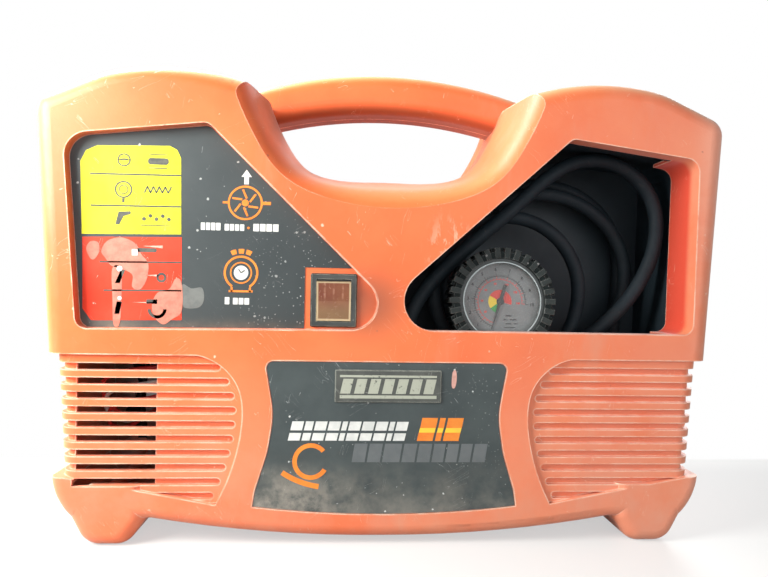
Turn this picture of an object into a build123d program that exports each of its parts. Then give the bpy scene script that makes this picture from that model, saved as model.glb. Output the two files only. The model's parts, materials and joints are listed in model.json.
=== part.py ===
"""Portable suitcase air compressor with a tyre inflator gun, in millimetres.

+X runs to the user's right, +Y to the back and +Z up. The origin is on the floor, midway between the feet.
The case is two moulded half shells that meet on the plane y = 0. The left half of the case holds the motor,
the middle the single-cylinder pump, and the right front a storage bin with the hose and the inflator gun.
"""

from build123d import *
from math import cos, radians, sin, sqrt, tan
import os

os.makedirs("parts", exist_ok=True)

# ---- driving dimensions: the case ----
HALF_DEPTH = 95.0  # parting plane to the front face
WALL = 3.0
SPLIT = 0.15  # each half shell stops this far from the parting plane
SIDE_TOP = (243.6, 302.5)  # where the lines of the side wall and the shoulder cross
SIDE_FOOT = (232.0, 130.0)  # lower end of the upper body's side wall
CREST = ((104.0, 320.5), (152.0, 328.5), (198.0, 323.2))  # rounded top of a lobe
CREST_BLEND = 70.0
SHOULDER_ROUND = 15.0
FRONT_ROUND = 13.5  # front edges of the top and the sides
GRILLE_TOP = SIDE_FOOT[1]
GRILLE_BASE = 47.0
GRILLE_HALF = (226.0, 220.5)  # half width of the louvred band at its top and at its base
GRILLE_SINK = 2.5  # louvred band behind the front face
SIDE_ROUND = 12.0  # front side edges of the band and the plinth
PLINTH_HALF = 227.0
PLINTH_ROUND = 9.0
RIM_FOOT = 116.0
FOOT_BACK = 38.0  # a foot's inner end, from the parting plane
# a foot's corners as (x, z, radius)
FOOT = ((164.0, 42.0, 0.0), (164.0, 17.0, 10.0), (176.0, 0.0, 13.0), (203.5, 0.0, 16.0), (225.5, 42.0, 0.0))
FOOT_ROUND = 9.0
SKIRT_LOW = 4.5  # lowest line of the skirt at the middle
SKIRT_END = (160.0, 17.5)

# ---- driving dimensions: the handle and the valley in front of it ----
HANDLE_FRONT = 22.0  # half the bar's depth
HANDLE_TOP = 353.0
HANDLE_DROP = 17.5  # fall of the bar's top line at its ends
HANDLE_SPAN = 110.0
HANDLE_THICK = 31.5
HANDLE_ROUND = 11.0
HANDLE_END = 134.0  # the bar's ends, inside the lobes
VALLEY_LIP = 362.0
VALLEY_FRONT = (
    (0.0, 232.0), (42.0, 237.5), (77.0, 254.5), (97.0, 283.0), (108.0, 307.0), (114.0, VALLEY_LIP),
)
VALLEY_BACK = (
    (0.0, 258.5), (38.0, 259.5), (62.0, 267.0), (79.0, 288.0), (90.0, 311.0), (101.0, VALLEY_LIP),
)

# ---- driving dimensions: what is let into the front ----
# corners as (x, z, radius)
LABEL_BAY = ((-221.1, 277.6, 16.0), (-125.6, 288.5, 7.0), (19.0, 149.0, 18.5), (-210.4, 147.2, 8.0))
WINDOW = ((-22.6, 149.0, 20.9), (218.3, 148.5, 8.0), (221.0, 273.8, 10.0), (128.1, 285.9, 6.0))
BAY_SINK = 8.0
BAY_WALL = 2.6
WINDOW_RIM = 12.0  # depth of the window's collar
CHEEK_DEEP = 38.0  # depth of the wall at the window's right side
BADGE_SINK = 1.2
RIM_WAIST = 99.2  # half width of the middle panel at its waist
RIM_MID = 92.0
GROOVE_PITCH = 9.75
GROOVE_TALL = 4.7
GROOVE_TOP = 121.6  # centre of the top groove
GROOVES = 10
GROOVE_DEEP = 3.2
GROOVE_BACK = 2.0  # wall left behind a groove
GROOVE_INDENT = 7.0  # the grooves' ends, outside the middle panel's rim
VENTS = 9
VENT_SPAN = (158.0, 211.0)

# ---- driving dimensions: screws ----
SCREW_AT = (
    (-195.0, 30.0), (195.0, 30.0), (-185.0, 309.0), (185.0, 309.0),
    (-214.0, 139.5), (213.0, 85.0), (2.0, 222.0),
)
SCREW_R = 2.0
BOSS_R = 4.8
HEAD_R = 3.8
HEAD_DEEP = 14.0  # how far a screw's head sits in the rear face

# ---- driving dimensions: badge and labels ----
# the badge's upper outline from its lower left corner round to its lower right corner
BADGE_TOP = (
    (-91.5, 27.0, 0.0), (-90.0, 38.0, 30.0), (-82.0, 64.0, 60.0), (-78.0, 90.0, 60.0), (-84.5, 127.0, 5.0),
    (84.5, 127.0, 5.0), (78.0, 90.0, 60.0), (82.0, 64.0, 60.0), (90.0, 38.0, 30.0), (91.5, 27.0, 0.0),
)
BADGE_LOW = 21.6
BADGE_THICK = 0.8
NAME_AT = (0.5, 110.3)
NAME_SIZE = (74.0, 22.5)
NAME_THICK = 1.2
LABEL_EDGE = 0.6
LABEL_THICK = 0.5
LABEL_CUT = (-58.8, 191.6)  # upper left corner of the label's cut-out round the switch

# ---- driving dimensions: the power switch ----
SWITCH_AT = (-38.5, 168.9)
SWITCH_FLANGE = (32.5, 37.6)
SWITCH_LIP = 2.4
SWITCH_BODY = (28.0, 33.0)
SWITCH_DEEP = 26.0
ROCKER_SIZE = (23.8, 27.2)
ROCKER_WELL = 13.0
ROCKER_PIVOT = -1.0  # pivot behind the bay's floor
ROCKER_PROUD = 5.6  # front corners ahead of the pivot
ROCKER_BELLY = 9.0
ROCKER_TILT = 8.0

# ---- driving dimensions: the storage bin ----
BIN = (
    (9.0, 99.0, 3.0), (213.5, 99.0, 3.0), (215.5, 134.0, 2.0), (222.5, 141.0, 2.0), (226.0, 280.0, 12.0),
    (128.5, 291.5, 8.0), (2.0, 176.5, 20.0), (2.0, 146.0, 6.0),
)
BIN_WALL = 2.5
BIN_FRONT = HALF_DEPTH - WINDOW_RIM  # its mouth stands against the window's collar
BIN_BACK = -8.0  # its back stands behind the parting plane
OUTLET_AT = (196.0, -12.0)
OUTLET_R = 6.0

# ---- driving dimensions: the inflator gun, on its own leaning plane ----
GUN_AT = (84.6, -75.5, 170.4)
GUN_LEAN = 5.0
BARREL_R = 10.5
BARREL_V = -57.5  # barrel's axis under the gauge's centre
BARREL_W = -12.5  # barrel's axis behind the gauge's face
CRADLE_X = (140.0, 176.0)
CRADLE_WIDE = 4.0
CRADLE_TOP = 106.0

# ---- driving dimensions: the pump set ----
AXIS_Y = 35.0
AXIS_Z = 84.0
MOUNT_X = (-150.0, 12.0)
MOUNT_Y = (8.0, 62.0)
MOUNT_R = 9.0
POST_TOP = 22.0
CAP_POST = (80.0, 57.0, 15.0, 14.0)  # the capacitor's post: x, y, radius, top
# opening between the plinth's hollow and the band's: half width, depth, low, high
SUMP = (200.0, 84.0, 22.0, 36.0)
BAND_INNER = HALF_DEPTH - GRILLE_SINK - GROOVE_DEEP - GROOVE_BACK  # inner face behind the louvres
GLAND_AT = (75.0, 60.0)
GLAND_R = 8.0
SCREW_BITE = 22.0  # length of a case screw in the front shell's boss

# ---- driving dimensions: the gun's parts and the hose ----
BARREL_X = (66.0, 196.0)
BARREL_BORE = 3.5
BLOCK_U = (-8.0, 13.4)
BLOCK_TOP = -44.0
BLOCK_HALF = 10.0
EAR = ((94.0, 114.0), (94.0, 126.0), (98.0, 130.8), (106.0, 131.5), (111.0, 127.0), (113.0, 114.0))
EAR_THICK = 3.0
HINGE_AT = (103.0, 128.0)
PIN = 1.5
LEVER_TOP = ((97.5, 125.0), (98.0, 129.0), (101.0, 131.0), (106.0, 132.2), (188.0, 143.5))
LEVER_UNDER = ((190.0, 140.0), (186.0, 137.5), (118.0, 128.5), (112.0, 125.5))
LEVER_WIDE = 13.0
PLUNGER_X = 122.0
PLUNGER_R = 2.0
PLUNGER_TOP = 128.6
BUTTON_X = 72.0
BUTTON = (4.5, 125.9, 129.0)  # radius, underside and top
FERRULE_X = 48.0
FERRULE_R = 8.0
CHUCK = (212.0, 8.0, 4.0)  # end, radius, bore
BOOT_R = 37.5
BOOT_BACK = -21.0
TOOTH_R = 39.8
TEETH = 36
CUP_R = 33.9
CUP_BACK = -19.5
DIAL_R = 30.5
DIAL_W = -8.0
MOVEMENT_W = DIAL_W - 6.5  # back of the movement
GLASS_R = 30.8
BEZEL_R = (28.4, 33.5)
STEM_R = 6.0
POINTER_TURN = 252.0  # the needle at zero, anticlockwise from the gauge's right
NEEDLE = 23.5
NEEDLE_TAIL = 13.0
NEEDLE_WIDE = 2.6
POINTER_W = -6.6  # underside of the needle, over the dial
POINTER_THICK = 0.6
HOSE_R = 5.5
# the coil's outer line is drawn round these circles: x, z, radius
COIL = (
    (100.3, 177.0, 63.6), (140.7, 197.9, 77.0), (131.0, 279.5, 5.5),
    (160.0, 281.5, 5.5), (194.0, 276.5, 6.0), (211.0, 262.0, 6.0),
)
COIL_Y = (-49.5, -4.0)
COIL_EDGE = 5.0
COIL_HOLE = (118.0, 187.0, 30.0)
STATOR_X = (-168.0, -114.0)
STATOR_R = 50.0
ROTOR_R = 28.0
AIR_GAP = 0.5
WINDING_MID = 37.5
WINDING_DEEP = 12.0
WINDING_OUT = 13.0
WINDING_EDGE = 3.0
SLOT_WIDE = 7.0
SLOTS = 12
SLOT_PAPER = 0.2
BOLT_RING = 46.5
THROUGH_R = 2.0
SHAFT_R = 8.0
COVER_X = -189.0  # outer face of the motor's end cover
BEARING_R = 16.0
BEARING_BORE = 6.0
BEARING_LONG = 10.0
RUN_FIT = 0.04
FAN_X = (-209.0, -195.0)
FAN_R = 42.0
FAN_HUB = 12.0
FAN_BLADES = 11
PUMP_X = -42.0
CASE_X = (-84.0, -2.0)  # left and right faces of the crankcase
CASE_WALL = 13.0
CASE_SIZE = 84.0
CASE_LOW = 30.5
CASE_TOP = 128.0
CHAMBER_HALF = (31.0, 36.0)
CRANK_X = (-69.0, -56.0)
CRANK_THROW = 8.0
WEB_R = 24.0
PIN_R = 4.0
ROD_X = (-52.0, -34.0)
EYE_R = 20.5  # opened bore of the rod's big end
EYE_RIM = 3.5
BUSH = 2.0
BORE_R = 31.5
LINER = 3.0
PISTON_R = 31.0
SEAL_FIT = 0.06
TOP_GAP = 0.5
CYL_TOP = 184.0
FINS = 5
FIN_R = 41.0
FIN_THICK = 1.6
HEAD_SIZE = 80.0
HEAD_PITCH = 64.0
HEAD_BOLT_R = 2.5
HEAD_BITE = 16.0
HEAD_TALL = 24.0
GASKET = 0.5
PLATE = 4.0
PORT_R = 4.0
FILTER_NECK = 5.0
BRACKET_X = (-182.0, 24.0)
BRACKET = 2.5
RUBBER = 6.0
STUD_R = 2.5
CAP_R = 17.0
CAP_TALL = 68.0
GLAND_BORE = 4.0
GLAND_INNER = 8.0  # the gland's length inside the wall
GLAND_LIP = 3.0
GLAND_ROOM = 0.5
GLAND_SINK = 3.2  # its pocket in the rear face
GLAND_HEAD = GLAND_SINK + NAME_THICK + BADGE_THICK - BADGE_SINK  # as proud as the name plate in front
MOTOR_BITE = 6.0  # how far the motor's bolts run into the crankcase
PIPE_R = 4.0
PIPE_BEND = 12.0


def gun_point(u: float, v: float, w: float) -> tuple:
    """Point of the gun's plane in the case's axes; w is towards the front."""
    lean = radians(GUN_LEAN)
    y = GUN_AT[1] + v * sin(lean) - w * cos(lean)
    z = GUN_AT[2] + v * cos(lean) + w * sin(lean)
    return (GUN_AT[0] + u, y, z)


def boss_reach(z: float) -> float:
    """How far from the parting plane a screw boss runs into the wall at height z."""
    if GRILLE_BASE < z < GRILLE_TOP:
        return HALF_DEPTH - GRILLE_SINK - GROOVE_DEEP - GROOVE_BACK / 2
    return HALF_DEPTH - WALL / 2


def skirt_z(x: float) -> float:
    """Height of the case's underside at x, as the parabola that its arc follows closely."""
    return SKIRT_LOW + (SKIRT_END[1] - SKIRT_LOW) * min(1.0, (x / SKIRT_END[0]) ** 2)


def valley_points(inset: float, share: float) -> list:
    """The valley's section from left to right; share runs from 0 at the front to 1 at the handle bar."""
    rise = sqrt(1.0 - (1.0 - share) ** 2)
    points = []
    for (x0, z0), (x1, z1) in zip(VALLEY_FRONT, VALLEY_BACK):
        x = x0 + (x1 - x0) * rise
        z = z0 + (z1 - z0) * rise
        reach = sqrt(x * x + (VALLEY_LIP - z) ** 2)
        points.append((x * (1.0 + inset / reach), z - (VALLEY_LIP - z) * inset / reach))
    return [(-x, z) for x, z in reversed(points)] + points[1:]


def bar_drop(x: float, top: float) -> tuple:
    """Point of a handle line that is top high in the middle."""
    return (x, top - HANDLE_DROP * (x / HANDLE_SPAN) ** 2)


def half_width(z: float) -> float:
    """Half width of the louvred band at height z."""
    share = (z - GRILLE_BASE) / (GRILLE_TOP - GRILLE_BASE)
    return GRILLE_HALF[1] + (GRILLE_HALF[0] - GRILLE_HALF[1]) * share


def rim_x(z: float) -> float:
    """Half width of the middle panel between the louvred fields at height z."""
    if z > RIM_MID:
        return RIM_WAIST + 6.0 * ((z - RIM_MID) / 22.0) ** 2
    return RIM_WAIST + 17.0 * ((z - RIM_MID) / 64.0) ** 2


def half_case(inset: float):
    """Solid front half of the upper case, every wall moved in by inset."""
    with BuildPart() as form:
        # upper body with its two lobes
        with BuildSketch(Plane.XZ) as outline:
            with BuildLine():
                Line((0, GRILLE_TOP), SIDE_FOOT)
                Line(SIDE_FOOT, SIDE_TOP)
                Line(SIDE_TOP, CREST[2])
                ThreePointArc(CREST[2], CREST[1], CREST[0])
                Line(CREST[0], (0, CREST[0][1]))
                Line((0, CREST[0][1]), (0, GRILLE_TOP))
            make_face()
            fillet(outline.vertices().filter_by(lambda v: v.Y > 300 and v.X > 240), SHOULDER_ROUND)
            fillet(outline.vertices().filter_by(lambda v: v.Y > 300 and 190 < v.X < 205), CREST_BLEND)
            mirror(about=Plane.YZ)
            if inset:
                offset(amount=-inset, kind=Kind.INTERSECTION)
        extrude(amount=HALF_DEPTH - inset)
        front = form.faces().sort_by(Axis.Y)[0]
        edges = front.edges().filter_by(lambda e: e.center().Z > GRILLE_TOP + inset + 1)
        fillet(edges, FRONT_ROUND - inset)
        # valley between the lobes, rolled over towards the handle's opening
        for share in (0.0, 0.06, 0.2, 0.5, 1.0):
            depth = HALF_DEPTH - share * (HALF_DEPTH - HANDLE_FRONT)
            points = valley_points(inset, share)
            with BuildSketch(Plane.XZ.offset(depth + (0.5 if share == 0 else 0.0))):
                with BuildLine():
                    Spline(*points)
                    Line(points[0], points[-1])
                make_face()
        loft(mode=Mode.SUBTRACT)
        points = valley_points(inset, 1.0)
        with BuildSketch(Plane.XZ):
            with BuildLine():
                Spline(*points)
                Line(points[0], points[-1])
            make_face()
        extrude(amount=HANDLE_FRONT, mode=Mode.SUBTRACT)
    return form.part


def half_handle(inset: float):
    """Front half of the handle bar; its ends run into the lobes."""
    top = HANDLE_TOP - inset
    under = HANDLE_TOP - HANDLE_THICK + inset
    with BuildPart() as bar:
        with BuildSketch(Plane.XZ):
            with BuildLine():
                ThreePointArc(bar_drop(-HANDLE_END, top), (0, top), bar_drop(HANDLE_END, top))
                Line(bar_drop(HANDLE_END, top), bar_drop(HANDLE_END, under))
                ThreePointArc(bar_drop(HANDLE_END, under), (0, under), bar_drop(-HANDLE_END, under))
                Line(bar_drop(-HANDLE_END, under), bar_drop(-HANDLE_END, top))
            make_face()
        extrude(amount=HANDLE_FRONT - inset)
        front = bar.faces().sort_by(Axis.Y)[0]
        fillet(front.edges().filter_by(lambda e: e.length > 100), HANDLE_ROUND - inset)
    return bar.part


def half_band(inset: float):
    """Front half of the louvred band under the upper body."""
    low = GRILLE_BASE - 18
    high = GRILLE_TOP + (3 * inset if inset else 1)
    with BuildPart() as form:
        with BuildSketch(Plane.XZ):
            with BuildLine():
                Line((-half_width(high), high), (-half_width(low), low))
                Line((-half_width(low), low), (half_width(low), low))
                Line((half_width(low), low), (half_width(high), high))
                Line((half_width(high), high), (-half_width(high), high))
            make_face()
            if inset:
                offset(amount=-inset, kind=Kind.INTERSECTION)
        extrude(amount=HALF_DEPTH - GRILLE_SINK - inset)
        front = form.faces().sort_by(Axis.Y)[0]
        fillet(front.edges().filter_by(lambda e: abs(e.center().X) > 150), SIDE_ROUND - inset)
    return form.part


def half_plinth(inset: float):
    """Front half of the plinth that swells out under the louvred band."""
    with BuildPart() as form:
        with BuildSketch(Plane.XZ):
            with BuildLine():
                ThreePointArc((0, SKIRT_LOW), (94.0, SKIRT_LOW + 4.2), SKIRT_END)
                Line(SKIRT_END, (212.0, SKIRT_END[1]))
                ThreePointArc((212.0, SKIRT_END[1]), (221.5, 29.0), (PLINTH_HALF, GRILLE_BASE))
                Line((PLINTH_HALF, GRILLE_BASE), (216.0, GRILLE_BASE))
                ThreePointArc((216.0, GRILLE_BASE), (153.0, 35.4), (RIM_FOOT, 28.3))
                Line((RIM_FOOT, 28.3), (0, 28.3))
                Line((0, 28.3), (0, SKIRT_LOW))
            make_face()
            mirror(about=Plane.YZ)
            if inset:
                offset(amount=-inset, kind=Kind.INTERSECTION)
        extrude(amount=HALF_DEPTH - inset)
        front = form.faces().sort_by(Axis.Y)[0]
        low_edges = front.edges().filter_by(lambda e: e.center().Z < 40)
        edges = low_edges.filter_by(lambda e: e.center().Z < 26 or abs(e.center().X) > 215)
        fillet(edges, PLINTH_ROUND - inset)
    return form.part


def foot(inset: float):
    """One moulded foot under the plinth's right front corner."""
    with BuildPart() as form:
        with BuildSketch(Plane.XZ.offset(FOOT_BACK)):
            with BuildLine():
                FilletPolyline(*[(x, z) for x, z, r in FOOT], radius=[r for x, z, r in FOOT], close=True)
            make_face()
            if inset:
                offset(amount=-inset, kind=Kind.INTERSECTION)
        extrude(amount=HALF_DEPTH - FOOT_BACK - inset)
        ends = form.faces().sort_by(Axis.Y)
        edges = ends[0].edges() + ends[-1].edges()
        fillet(edges.filter_by(lambda e: e.center().Z < 36), FOOT_ROUND - inset)
    return form.part


def bay_face(corners: tuple, grow: float):
    """Face of a bay or the window, grown outwards by grow."""
    with BuildSketch(Plane.XZ) as face:
        with BuildLine():
            FilletPolyline(*[(x, z) for x, z, r in corners], radius=[r for x, z, r in corners], close=True)
        make_face()
        if grow:
            offset(amount=grow)
    return face.sketch


def case_solid():
    """Front half of the case before its hollow is cut, with the grooves round its lower part."""
    with BuildPart() as form:
        add(half_band(0))
        for k in range(GROOVES):
            z = GROOVE_TOP - k * GROOVE_PITCH
            root_y = HALF_DEPTH - GRILLE_SINK - GROOVE_DEEP
            root_x = half_width(z) - GROOVE_DEEP
            turn = SIDE_ROUND - GROOVE_DEEP
            start = rim_x(z) + GROOVE_INDENT
            with BuildSketch(Plane.XY.offset(z - GROOVE_TALL / 2)):
                with BuildLine():
                    Line((start, -root_y), (root_x - turn, -root_y))
                    RadiusArc((root_x - turn, -root_y), (root_x, turn - root_y), -turn)
                    Line((root_x, turn - root_y), (root_x, 0))
                    Line((root_x, 0), (SIDE_TOP[0], 0))
                    Line((SIDE_TOP[0], 0), (SIDE_TOP[0], -HALF_DEPTH))
                    Line((SIDE_TOP[0], -HALF_DEPTH), (start, -HALF_DEPTH))
                    Line((start, -HALF_DEPTH), (start, -root_y))
                make_face()
                mirror(about=Plane.YZ)
            extrude(amount=GROOVE_TALL, mode=Mode.SUBTRACT)
            with BuildSketch(Plane.XZ.offset(root_y)):
                with Locations((start, z), (-start, z)):
                    Circle(GROOVE_TALL / 2)
            extrude(amount=GRILLE_SINK + GROOVE_DEEP, mode=Mode.SUBTRACT)
        # middle panel, flush with the upper body
        with BuildSketch(Plane.XZ.offset(HALF_DEPTH - GRILLE_SINK - 1)):
            with BuildLine():
                waist = [(rim_x(z), z) for z in (28.3, 50.0, 71.0, RIM_MID, 108.0)]
                Spline(*waist, (118.0, 125.4), (136.0, GRILLE_TOP + 0.5))
                Line((136.0, GRILLE_TOP + 0.5), (0, GRILLE_TOP + 0.5))
                Line((0, GRILLE_TOP + 0.5), (0, 28.3))
                Line((0, 28.3), waist[0])
            make_face()
            mirror(about=Plane.YZ)
        extrude(amount=GRILLE_SINK + 1)
        add(half_plinth(0))
        add(foot(0))
        add(mirror(foot(0), about=Plane.YZ))
        add(half_case(0))
        add(half_handle(0))
    return form.part


def case_hollow():
    """The hollow inside the front half of the case."""
    with BuildPart() as form:
        add(half_case(WALL))
        add(half_handle(WALL))
        add(half_band(GROOVE_DEEP + GROOVE_BACK))
        add(half_plinth(WALL))
        with BuildSketch(Plane.XY.offset(SUMP[2])):
            Rectangle(2 * SUMP[0], SUMP[1], align=(Align.CENTER, Align.MAX))
        extrude(amount=SUMP[3] - SUMP[2])
        add(foot(WALL))
        add(mirror(foot(WALL), about=Plane.YZ))
    return form.part


solid = case_solid()
hollow = case_hollow()

# ================= casing =================

with BuildPart() as front_shell:
    add(solid)
    add(hollow, mode=Mode.SUBTRACT)
    # dished bay for the control label, and the window's collar with its deep right cheek
    floor_y = HALF_DEPTH - BAY_SINK - BAY_WALL
    with BuildSketch(Plane.XZ.offset(floor_y)):
        add(bay_face(LABEL_BAY, BAY_WALL))
    extrude(amount=HALF_DEPTH - WALL - floor_y + 0.5)
    with BuildSketch(Plane.XZ.offset(HALF_DEPTH - WINDOW_RIM)):
        add(bay_face(WINDOW, BAY_WALL))
    extrude(amount=WINDOW_RIM - WALL + 0.5)
    with BuildSketch(Plane.XZ.offset(HALF_DEPTH - CHEEK_DEEP)):
        add(bay_face(WINDOW, BAY_WALL))
        with Locations((-20, 200)):
            Rectangle(2 * (WINDOW[1][0] - 12.0) + 40, 300, mode=Mode.SUBTRACT)
    extrude(amount=CHEEK_DEEP - WALL + 0.5)
    for x, z in SCREW_AT:
        with BuildSketch(Plane.XZ.offset(SPLIT)):
            with Locations((x, z)):
                Circle(BOSS_R)
        extrude(amount=boss_reach(z) - SPLIT)
    # lettings in
    with BuildSketch(Plane.XZ.offset(HALF_DEPTH - BAY_SINK)):
        add(bay_face(LABEL_BAY, 0))
    extrude(amount=BAY_SINK + 1, mode=Mode.SUBTRACT)
    with BuildSketch(Plane.XZ.offset(HALF_DEPTH - CHEEK_DEEP - 1)):
        add(bay_face(WINDOW, 0))
    extrude(amount=CHEEK_DEEP + 2, mode=Mode.SUBTRACT)
    with BuildSketch(Plane.XZ.offset(HALF_DEPTH - BADGE_SINK)):
        with BuildLine():
            FilletPolyline(*[(x, z) for x, z, r in BADGE_TOP], radius=[r for x, z, r in BADGE_TOP[1:-1]])
            ThreePointArc(BADGE_TOP[-1][:2], (0, BADGE_LOW), BADGE_TOP[0][:2])
        make_face()
    extrude(amount=BADGE_SINK + 1, mode=Mode.SUBTRACT)
    # vent slots through the floors of the left grooves
    for k in range(VENTS):
        z = GROOVE_TOP - k * GROOVE_PITCH
        with BuildSketch(Plane.XZ.offset(HALF_DEPTH - 16.0)):
            with Locations((-(VENT_SPAN[0] + VENT_SPAN[1]) / 2, z)):
                Rectangle(VENT_SPAN[1] - VENT_SPAN[0], GROOVE_TALL)
        extrude(amount=16.0, mode=Mode.SUBTRACT)
    # opening for the switch
    with BuildSketch(Plane.XZ.offset(floor_y - 1)):
        with Locations(SWITCH_AT):
            Rectangle(SWITCH_BODY[0] + 0.4, SWITCH_BODY[1] + 0.4)
    extrude(amount=BAY_WALL + 2, mode=Mode.SUBTRACT)
    # pilot holes for the case screws, and the gap at the parting plane
    for x, z in SCREW_AT:
        with BuildSketch(Plane.XZ.offset(0)):
            with Locations((x, z)):
                Circle(SCREW_R)
        extrude(amount=SCREW_BITE + 2, mode=Mode.SUBTRACT)
    split(bisect_by=Plane.XZ.offset(SPLIT), keep=Keep.TOP)

front_shell.part.label = "front_shell"
export_step(front_shell.part, "parts/front_shell.step")

with BuildPart() as rear_shell:
    add(mirror(solid, about=Plane.XZ))
    add(mirror(hollow, about=Plane.XZ), mode=Mode.SUBTRACT)
    for x, z in SCREW_AT:
        with BuildSketch(Plane.XZ.offset(-boss_reach(z))):
            with Locations((x, z)):
                Circle(BOSS_R)
        extrude(amount=boss_reach(z) - SPLIT)
        with BuildSketch(Plane.XZ.offset(-boss_reach(z))):
            with Locations((x, z)):
                Circle(HEAD_R + 2.4)
        extrude(amount=HEAD_DEEP + WALL)
    for x, z in SCREW_AT:
        with BuildSketch(Plane.XZ.offset(-HALF_DEPTH - 1)):
            with Locations((x, z)):
                Circle(HEAD_R + 0.4)
        extrude(amount=HEAD_DEEP + 1, mode=Mode.SUBTRACT)
        with BuildSketch(Plane.XZ.offset(-HALF_DEPTH)):
            with Locations((x, z)):
                Circle(SCREW_R + 0.15)
        extrude(amount=HALF_DEPTH, mode=Mode.SUBTRACT)
    # vent slots at both ends
    for k in range(VENTS):
        z = GROOVE_TOP - k * GROOVE_PITCH
        with BuildSketch(Plane.XZ.offset(-HALF_DEPTH)):
            with Locations((-(VENT_SPAN[0] + VENT_SPAN[1]) / 2, z), ((VENT_SPAN[0] + VENT_SPAN[1]) / 2, z)):
                Rectangle(VENT_SPAN[1] - VENT_SPAN[0], GROOVE_TALL)
        extrude(amount=16.0, mode=Mode.SUBTRACT)
    # posts that carry the pump set and the capacitor
    for x, y, r, top in [(mx, my, MOUNT_R, POST_TOP) for mx in MOUNT_X for my in MOUNT_Y] + [CAP_POST]:
        with BuildSketch(Plane.XY.offset(skirt_z(x) + WALL / 2)):
            with Locations((x, y)):
                Circle(r)
        extrude(amount=top - skirt_z(x) - WALL / 2)
    with BuildSketch(Plane.XZ.offset(-HALF_DEPTH - 1)):
        with Locations(GLAND_AT):
            Circle(GLAND_R + 0.1)
    extrude(amount=HALF_DEPTH - BAND_INNER + 2, mode=Mode.SUBTRACT)
    with BuildSketch(Plane.XZ.offset(-HALF_DEPTH - 1)):
        with Locations(GLAND_AT):
            Circle(GLAND_R + GLAND_LIP + GLAND_ROOM)
    extrude(amount=GLAND_SINK + 1, mode=Mode.SUBTRACT)
    split(bisect_by=Plane.XZ.offset(-SPLIT), keep=Keep.BOTTOM)

rear_shell.part.label = "rear_shell"
export_step(rear_shell.part, "parts/rear_shell.step")

with BuildPart() as shell_screws:
    for x, z in SCREW_AT:
        with BuildSketch(Plane.XZ.offset(-HALF_DEPTH + HEAD_DEEP)):
            with Locations((x, z)):
                Circle(SCREW_R)
        extrude(amount=HALF_DEPTH - HEAD_DEEP + SCREW_BITE)
        with BuildSketch(Plane.XZ.offset(-HALF_DEPTH + HEAD_DEEP - 2.6)):
            with Locations((x, z)):
                Circle(HEAD_R)
                RegularPolygon(1.5, 4, mode=Mode.SUBTRACT)
        extrude(amount=2.6)
shell_screws.part.label = "shell_screws"
export_step(shell_screws.part, "parts/shell_screws.step")

with BuildPart() as control_label:
    with BuildSketch(Plane.XZ.offset(HALF_DEPTH - BAY_SINK)):
        add(bay_face(LABEL_BAY, -LABEL_EDGE))
        with Locations(LABEL_CUT):
            Rectangle(200, 200, align=(Align.MIN, Align.MAX), mode=Mode.SUBTRACT)
    extrude(amount=LABEL_THICK)
control_label.part.label = "control_label"
export_step(control_label.part, "parts/control_label.step")

with BuildPart() as badge_plate:
    with BuildSketch(Plane.XZ.offset(HALF_DEPTH - BADGE_SINK)):
        with BuildLine():
            FilletPolyline(*[(x, z) for x, z, r in BADGE_TOP], radius=[r for x, z, r in BADGE_TOP[1:-1]])
            ThreePointArc(BADGE_TOP[-1][:2], (0, BADGE_LOW), BADGE_TOP[0][:2])
        make_face()
        offset(amount=-0.5)
    extrude(amount=BADGE_THICK)
badge_plate.part.label = "badge_plate"
export_step(badge_plate.part, "parts/badge_plate.step")

with BuildPart() as name_plate:
    with BuildSketch(Plane.XZ.offset(HALF_DEPTH - BADGE_SINK + BADGE_THICK)):
        with Locations(NAME_AT):
            RectangleRounded(NAME_SIZE[0], NAME_SIZE[1], 1.0)
    extrude(amount=NAME_THICK)
    chamfer(name_plate.faces().sort_by(Axis.Y)[0].edges(), 0.5)
name_plate.part.label = "name_plate"
export_step(name_plate.part, "parts/name_plate.step")

# ================= power switch =================

switch_face = HALF_DEPTH - BAY_SINK  # floor of the label bay
with BuildPart() as switch_body:
    with BuildSketch(Plane.XZ.offset(switch_face)):
        with Locations(SWITCH_AT):
            RectangleRounded(SWITCH_FLANGE[0], SWITCH_FLANGE[1], 1.5)
    extrude(amount=SWITCH_LIP)
    chamfer(switch_body.faces().sort_by(Axis.Y)[0].edges(), 0.8)
    with BuildSketch(Plane.XZ.offset(switch_face - SWITCH_DEEP)):
        with Locations(SWITCH_AT):
            Rectangle(SWITCH_BODY[0], SWITCH_BODY[1])
    extrude(amount=SWITCH_DEEP)
    with BuildSketch(Plane.XZ.offset(switch_face - ROCKER_WELL)):
        with Locations(SWITCH_AT):
            Rectangle(ROCKER_SIZE[0] + 0.7, ROCKER_SIZE[1] + 2.4)
    extrude(amount=ROCKER_WELL + SWITCH_LIP + 1, mode=Mode.SUBTRACT)
    with BuildSketch(Plane.XZ.offset(switch_face - SWITCH_DEEP - 8.0)):
        with Locations(SWITCH_AT):
            with GridLocations(12, 14, 2, 2):
                Rectangle(6.3, 0.8)
    extrude(amount=8.0)
switch_body.part.label = "switch_body"
export_step(switch_body.part, "parts/switch_body.step")

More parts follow.
